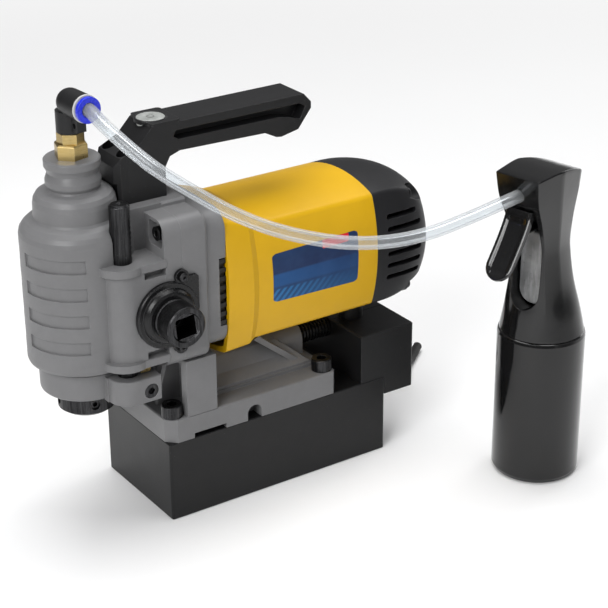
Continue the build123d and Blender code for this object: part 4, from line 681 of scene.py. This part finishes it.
def side_panel(name, corners, radius, material, lift, thickness, across=60, rows=34):
    """Thin panel with rounded corners laid on the motor's -Y side.

    corners: top left, top right, bottom right, bottom left as (x, z) in mm, seen from -Y.
    """
    housing = NODES["motor_housing"]
    top_left, top_right, low_right, low_left = [Vector((x, 0, z)) for x, z in corners]
    width = ((top_right - top_left).length + (low_right - low_left).length) / 2
    height = ((top_left - low_left).length + (top_right - low_right).length) / 2
    # evaluates the housing so that rays can be cast on it
    bpy.context.evaluated_depsgraph_get()

    def on_housing(u, v):
        p = ((low_left * (1 - u) + low_right * u) * (1 - v)
             + (top_left * (1 - u) + top_right * u) * v)
        start = Vector((p.x * MM, RAY_START_Y, p.z * MM))
        hit, place, normal, _ = housing.ray_cast(start, Vector((0, 1, 0)))
        if not hit:
            place, normal = Vector((p.x * MM, FALLBACK_Y, p.z * MM)), Vector((0, -1, 0))
        return place, -normal if normal.y > 0 else normal

    uvs = []
    for j in range(rows + 1):
        v = j / rows
        y = v * height
        into_corner = max(radius - y, y - height + radius)
        inset = 0.0
        if into_corner > 0:
            inset = radius - math.sqrt(max(0, radius * radius - into_corner ** 2))
        for i in range(across + 1):
            x = inset + (width - 2 * inset) * i / across
            uvs.append((x / width, v))
    verts = []
    for rise in (lift + thickness, lift):
        for u, v in uvs:
            place, normal = on_housing(u, v)
            verts.append(place + normal * rise)
    mesh = bpy.data.meshes.new(name)
    mesh.from_pydata(verts, [], two_skin_faces(across, rows))
    layer = mesh.uv_layers.new(name="label")
    for loop in mesh.loops:
        layer.data[loop.index].uv = uvs[loop.vertex_index % len(uvs)]
    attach(into_scene(name, mesh, material, smooth=False), "root")


side_panel("motor_label", [(-5.5, 158.0), (57.4, 159.6), (57.0, 125.8), (-5.3, 127.2)],
           radius=2.6, material=label_print(), lift=0.00003, thickness=0.00012)
side_panel("label_corner_band", [(31.0, 158.9), (50.5, 159.4), (50.5, 154.2), (31.0, 153.7)],
           radius=0.5, material=label_red(), lift=0.00016, thickness=0.00006,
           across=30, rows=10)

# ------------------------------------------------------------------ target ring on the level
# height above the vial, radius
TARGET_RING = [(0.00002, 0.00205), (0.00002, 0.00228), (0.00010, 0.00228), (0.00010, 0.00205)]

level_low, level_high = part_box("bubble_level")
level_top = Vector(((level_low.x + level_high.x) / 2, (level_low.y + level_high.y) / 2,
                    level_high.z))
level_mark = painted("level_mark", base=(60, 60, 58), light=(90, 90, 88), rough=0.3,
                     grain=2000, vary=0.1)
target = lathe("level_target", level_top, (0, 0, 1), TARGET_RING, segments=64,
               material=level_mark, smooth=False)
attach(target, "root")

# ------------------------------------------------------------------ pump behind the window
PUMP_BACK, PUMP_FRONT = 9.4, 12.4     # mm ahead of the bottle's axis
PUMP_HALF_WIDTH = 9.4
PUMP_LOW, PUMP_TOP = 117.8, 165.0
PUMP_CORNER = 8.6


def pump_chamber():
    """Upright rounded block with a softened front edge."""
    reach = PUMP_HALF_WIDTH - PUMP_CORNER
    low, top = PUMP_LOW + PUMP_CORNER, PUMP_TOP - PUMP_CORNER
    outline = []
    for side, z, start in ((reach, top, 0), (-reach, top, 90),
                           (-reach, low, 180), (reach, low, 270)):
        for k in range(9):
            a = math.radians(start + 90 * k / 8)
            outline.append((side + PUMP_CORNER * math.cos(a), z + PUMP_CORNER * math.sin(a)))
    middle = (PUMP_LOW + PUMP_TOP) / 2
    # distance ahead, inset of the outline
    sections = ((PUMP_BACK, 0.0), (PUMP_FRONT - 0.6, 0.0),
                (PUMP_FRONT - 0.2, 0.25), (PUMP_FRONT, 0.8))
    verts, faces = [], []
    for front, inset in sections:
        for side, z in outline:
            verts.append(bottle(front, side + (-inset if side > 0 else inset),
                                z + (-inset if z > middle else inset)))
    count = len(outline)
    for i in range(len(sections) - 1):
        for k in range(count):
            a, b = i * count + k, i * count + (k + 1) % count
            faces.append((a, b, b + count, a + count))
    faces.append(tuple(range(count)))
    faces.append(tuple(range(len(verts) - count, len(verts))))
    return piece("pump_chamber", verts, faces, MATERIALS["pump_plastic"], False)


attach(pump_chamber(), "coolant_line")

# ------------------------------------------------------------------ black cup round the level
CUP_DEPTH = 0.0024      # from the top of the vial to the foot of the cup
# height above the foot, gap outside the vial
CUP_PROFILE = [(0, 0.00005), (0, 0.0013), (0.0021, 0.0013),
               (0.0025, 0.0009), (0.0025, 0.0003), (0.0021, 0.00005)]

vial_radius = (level_high.x - level_low.x) / 2
cup = lathe("level_cup", (level_top.x, level_top.y, level_high.z - CUP_DEPTH), (0, 0, 1),
            [(rise, vial_radius + gap) for rise, gap in CUP_PROFILE], segments=72,
            material=MATERIALS["black_shell"])
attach(cup, "root")

# ------------------------------------------------------------------ spray head
# height, reach to the front, reach to the back, half width, mm
HEAD_SECTIONS = [
    (98.2, 26.4, 26.4, 26.4), (112, 24.0, 24.6, 23.2), (132, 20.2, 22.8, 17.8),
    (152, 18.8, 22.0, 14.4), (160, 19.2, 22.4, 14.2), (175, 23.5, 25.8, 15.2),
    (190, 29.6, 31.4, 16.4), (207, 32.6, 35.0, 17.4)]
FRONT_REACH, BACK_REACH, HALF_WIDTH = (
    [(row[0], row[column]) for row in HEAD_SECTIONS] for column in (1, 2, 3))
# height, how faceted the section is: 0 round, 1 flat-sided
HEAD_FACETING = [(98.2, 0.0), (112, 0.12), (132, 0.5), (152, 0.78), (172, 0.96), (190, 1.0)]
# distance ahead of the bottle's axis, height of the top
HEAD_TOP = [(-36, 190.0), (-15, 201.0), (8, 207.0), (33, 205.8)]
# scale of each ring closing the top, drop below the top
TOP_RINGS = ((0.985, 0.25), (0.965, 0.0), (0.8, 0.0), (0.6, 0.0), (0.4, 0.0), (0.2, 0.0))
HEAD_BASE_Z = HEAD_SECTIONS[0][0]
HEAD_LEVELS = 54
HEAD_RIM_Z = 204.0      # section that sets how high each column of the wall rises
TOP_EDGE_DROP = 0.9     # wall ends this far below the top
FACET_STEPS = (9, 9, 10, 12)


def keyed(keys, x):
    """Smooth curve through (x, y) keys, held at the ends."""
    if x <= keys[0][0]:
        return keys[0][1]
    if x >= keys[-1][0]:
        return keys[-1][1]

    def slope(k):
        before, after = max(0, k - 1), min(len(keys) - 1, k + 1)
        return (keys[after][1] - keys[before][1]) / (keys[after][0] - keys[before][0])

    i = next(k for k in range(len(keys) - 1) if x <= keys[k + 1][0])
    (x0, y0), (x1, y1) = keys[i], keys[i + 1]
    h, u = x1 - x0, (x - x0) / (x1 - x0)
    return ((2 * u ** 3 - 3 * u ** 2 + 1) * y0 + (u ** 3 - 2 * u ** 2 + u) * h * slope(i)
            + (-2 * u ** 3 + 3 * u ** 2) * y1 + (u ** 3 - u ** 2) * h * slope(i + 1))


def head_ring(z):
    """Half-section at height z as (front, side), from the front centre to the back tip."""
    ahead, behind, half = (keyed(keys, z) for keys in (FRONT_REACH, BACK_REACH, HALF_WIDTH))
    faceting = keyed(HEAD_FACETING, z)
    corners = [(ahead, 0.0), (ahead, 0.9 * half), (0.3 * ahead, half),
               (-0.43 * behind, 0.75 * half), (-behind, 0.0)]
    ring = []
    for (f0, s0), (f1, s1), steps in zip(corners[:-1], corners[1:], FACET_STEPS):
        for k in range(steps):
            front, side = f0 + (f1 - f0) * k / steps, s0 + (s1 - s0) * k / steps
            flat = math.hypot(front, side)
            cosine, sine = front / flat, side / flat
            reach = ahead if cosine >= 0 else behind
            oval = 1 / math.sqrt((cosine / reach) ** 2 + (sine / half) ** 2)
            radius = faceting * flat + (1 - faceting) * oval
            ring.append((radius * cosine, radius * sine))
    ring.append((-behind, 0.0))
    return ring


def head_shell():
    """Solid head: round collar rising to a faceted crown with a sloping top."""
    rim = head_ring(HEAD_RIM_Z)
    rows = []
    for i in range(HEAD_LEVELS + 1):
        row = []
        for j, (front, _) in enumerate(rim):
            climb = keyed(HEAD_TOP, front) - TOP_EDGE_DROP - HEAD_BASE_Z
            z = HEAD_BASE_Z + i / HEAD_LEVELS * climb
            row.append((*head_ring(z)[j], z))
        rows.append(row)
    last = rows[-1]
    for scale, drop in TOP_RINGS:
        rows.append([(front * scale, side * scale, keyed(HEAD_TOP, front * scale) - drop)
                     for front, side, _ in last])
    verts, faces = [], []
    count = 2 * (len(rim) - 1)
    for row in rows:
        mirrored = [(front, -side, z) for front, side, z in row[-2:0:-1]]
        verts += [bottle(*point) for point in row + mirrored]
    for i in range(len(rows) - 1):
        for k in range(count):
            a, b = i * count + k, i * count + (k + 1) % count
            faces.append((a, b, b + count, a + count))
    base_centre, top_centre = len(verts), len(verts) + 1
    verts.append(bottle(0, 0, HEAD_BASE_Z))
    verts.append(bottle(0, 0, keyed(HEAD_TOP, 0)))
    top = (len(rows) - 1) * count
    for k in range(count):
        faces.append((base_centre, (k + 1) % count, k))
        faces.append((top_centre, top + k, top + (k + 1) % count))
    return piece("spray_head", verts, faces, MATERIALS["bottle_gloss"])


def forwards(side, z, distance):
    return bottle(distance, side, z)


def prism(outline, place, start, end):
    """Cutter: an outline of (a, b) swept from start to end, put down by place(a, b, d)."""
    count = len(outline)
    verts = [place(a, b, distance) for distance in (start, end) for a, b in outline]
    faces = [(k, (k + 1) % count, count + (k + 1) % count, count + k) for k in range(count)]
    faces += [tuple(range(count)), tuple(range(count, 2 * count))]
    return piece("cutter", verts, faces, MATERIALS["bottle_gloss"], False)


def disc(radius, segments=48, rise=0.0):
    angles = [2 * math.pi * k / segments for k in range(segments)]
    return [(radius * math.cos(a), rise + radius * math.sin(a)) for a in angles]


WINDOW_HALF = 10.2      # half width and bottom radius of the front window
WINDOW_TOP = 185.4
WINDOW_ARC_Z = 127.0


def window_outline():
    """Upright slot with a round bottom, as (side, z)."""
    arc = [(WINDOW_HALF * math.cos(math.radians(a)),
            WINDOW_ARC_Z + WINDOW_HALF * math.sin(math.radians(a)))
           for a in range(0, -181, -10)]
    return [(WINDOW_HALF, WINDOW_TOP)] + arc + [(-WINDOW_HALF, WINDOW_TOP)]


def cut(target, cutters):
    """Subtract the cutters from target and delete them."""
    for cutter in cutters:
        modifier = target.modifiers.new("cut", "BOOLEAN")
        modifier.operation = "DIFFERENCE"
        modifier.solver = "EXACT"
        modifier.object = cutter
    depsgraph = bpy.context.evaluated_depsgraph_get()
    mesh = bpy.data.meshes.new_from_object(target.evaluated_get(depsgraph))
    target.modifiers.clear()
    target.data = mesh
    for cutter in cutters:
        bpy.data.objects.remove(cutter, do_unlink=True)


head = head_shell()
cut(head, [
    prism(window_outline(), forwards, start=9.0, end=60.0),
    # wide bore in the base, then a narrower one above it
    prism(disc(radius=20.05, segments=72), bottle, start=97.0, end=106.2),
    prism(disc(radius=13.0, segments=64), bottle, start=106.0, end=136.0),
    # hose socket, then a small hole lower down
    prism(disc(radius=4.5, rise=SOCKET_Z), forwards, start=21.0, end=60.0),
    prism(disc(radius=3.15, rise=169.0), forwards, start=-6.0, end=24.0)])
crease(head, degrees=24, dissolve=1e-6)
head.data.materials.clear()
head.data.materials.append(MATERIALS["bottle_gloss"])
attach(head, "coolant_line")
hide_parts("bottle_head")

# ------------------------------------------------------------------ trigger
# distance ahead of the bottle's axis, height, mm, from the top down
LEVER_PATH = [(26.8, 183.4), (29.2, 177.4), (33.8, 169.0),
              (40.4, 159.2), (46.2, 151.2), (50.2, 145.0)]
LEVER_HALF_WIDTH = 9.2
LEVER_ACROSS = 24
TIP_START, TIP_LENGTH = 0.78, 0.222   # rounded end, as parts of the lever's length
DISH_DEPTH = 1.1
LIP_DEPTH = 0.5


def fraction(distance, width):
    return min(1.0, max(0.0, distance / width))


def trigger_lever():
    """Spoon-ended lever with a channelled front; v runs down it, u across from -1 to 1."""
    line = spline_points([(front, 0, z) for front, z in LEVER_PATH], step=1.1)
    spans = len(line) - 1
    verts = []
    for is_front in (True, False):
        for i, point in enumerate(line):
            v = i / spans
            along = tangent(line, i)
            normal = Vector((-along.z, 0, along.x))
            half = LEVER_HALF_WIDTH
            if v > TIP_START:
                half *= math.sqrt(max(0.0, 1 - ((v - TIP_START) / TIP_LENGTH) ** 2))
            thick = 2.3 - 0.9 * v     # half thickness, less towards the tip
            # the channel fades in below the top and out before the tip
            channel = DISH_DEPTH * fraction(v - 0.10, 0.06) * fraction(0.93 - v, 0.05)
            for k in range(LEVER_ACROSS + 1):
                u = -1 + 2 * k / LEVER_ACROSS
                dish = channel * (1 - fraction(abs(u) - 0.62, 0.16))
                lip = LIP_DEPTH * fraction(abs(u) - 0.9, 0.1)
                offset = thick - dish - lip if is_front else lip - thick
                place = point + normal * offset
                verts.append(bottle(place.x, u * half, place.z))
    return piece("trigger_lever", verts, two_skin_faces(LEVER_ACROSS, spans),
                 MATERIALS["bottle_gloss"])


lever = trigger_lever()
crease(lever, degrees=40)
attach(lever, "trigger")
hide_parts("bottle_trigger")

# ------------------------------------------------------------------ stage
BACKDROP = (0.93, 0.93, 0.93, 1)
FLOOR_HALF = 8
FLOOR_Z = -0.0002


def floor_material():
    """Matt pale floor; far off it fades to the backdrop, for the camera only."""
    tree = new_material("floor")
    tone = tree.mix(tree.varied(scale=1.5, detail=3.0),
                    (0.86, 0.86, 0.86, 1), (0.88, 0.88, 0.88, 1))
    near = tree.principled(tone, tree.varied(scale=3.0, to=(0.6, 0.7)))
    distance = tree.node("VectorMath", {0: tree.coords["Object"]}, operation="LENGTH")
    fade = tree.times(tree.remap(distance.outputs["Value"], span=(0.35, 1.3)),
                      tree.node("LightPath").outputs["Is Camera Ray"])
    far = tree.node("Emission", {"Color": BACKDROP}).outputs[0]
    return tree.finish(tree.mix_shader(fade, near, far))


def studio_world():
    """Plain backdrop for the camera, a dim gradient brighter overhead for the light."""
    world = bpy.data.worlds.new("studio")
    bpy.context.scene.world = world
    tree = Shading(world, output="OutputWorld")
    up = tree.node("SeparateXYZ", {0: tree.coords["Generated"]}).outputs[2]
    sky = tree.ramp(tree.remap(up, span=(-1.0, 1.0)),
                    [(0.35, (0.16, 0.16, 0.16, 1)), (0.9, (0.62, 0.62, 0.63, 1))])
    ambient = tree.node("Background", {"Color": sky, "Strength": 0.5}).outputs[0]
    seen = tree.node("Background", {"Color": BACKDROP, "Strength": 1.0}).outputs[0]
    camera_ray = tree.node("LightPath").outputs["Is Camera Ray"]
    tree.finish(tree.mix_shader(camera_ray, ambient, seen))


floor_corners = [(x * FLOOR_HALF, y * FLOOR_HALF, FLOOR_Z)
                 for x, y in ((-1, -1), (1, -1), (1, 1), (-1, 1))]
piece("floor", floor_corners, [(0, 1, 2, 3)], floor_material(), False)
studio_world()

# ------------------------------------------------------------------ lights
LIGHT_TARGET = Vector((0.0, -0.03, 0.13))
# name, place, width, height, power in watts
LIGHTS = (
    ("key_left", (-1.25, -0.75, 1.05), 0.8, 0.8, 20.0),
    ("top", (0.1, 0.1, 1.5), 1.2, 1.2, 20.0),
    ("front_fill", (0.5, -1.7, 0.6), 1.2, 0.8, 2.6),
    ("right_rim", (1.4, 0.3, 0.6), 0.5, 1.0, 4.0),
)
for name, place, width, height, power in LIGHTS:
    lamp = bpy.data.lights.new(name, "AREA")
    lamp.shape = "RECTANGLE"
    lamp.size = width
    lamp.size_y = height
    lamp.energy = power
    light = bpy.data.objects.new(name, lamp)
    light.location = place
    light.rotation_mode = "QUATERNION"
    light.rotation_quaternion = (LIGHT_TARGET - Vector(place)).to_track_quat("-Z", "Y")
    bpy.context.scene.collection.objects.link(light)

# ------------------------------------------------------------------ camera
CAMERA_PLACE = Vector((-0.52866, -0.8497, 0.56877))
AZIMUTH = math.radians(-34.0)         # about z from -Y, negative towards -X
ELEVATION = math.radians(24.68)
ROLL = math.radians(-0.37)


def add_camera():
    data = bpy.data.cameras.new("camera")
    data.sensor_width = 36.0
    data.lens = 104.210526
    data.clip_start = 0.05
    data.clip_end = 30.0
    camera = bpy.data.objects.new("camera", data)
    back = Vector((math.sin(AZIMUTH) * math.cos(ELEVATION),
                   -math.cos(AZIMUTH) * math.cos(ELEVATION), math.sin(ELEVATION)))
    level_right = Vector((math.cos(AZIMUTH), math.sin(AZIMUTH), 0))
    level_up = back.cross(level_right)
    right = level_right * math.cos(ROLL) + level_up * math.sin(ROLL)
    up = level_up * math.cos(ROLL) - level_right * math.sin(ROLL)
    rotation = Matrix((right, up, back)).transposed()
    camera.matrix_world = Matrix.Translation(CAMERA_PLACE) @ rotation.to_4x4()
    bpy.context.scene.collection.objects.link(camera)
    bpy.context.scene.camera = camera


add_camera()
bpy.context.scene.view_settings.view_transform = "Standard"
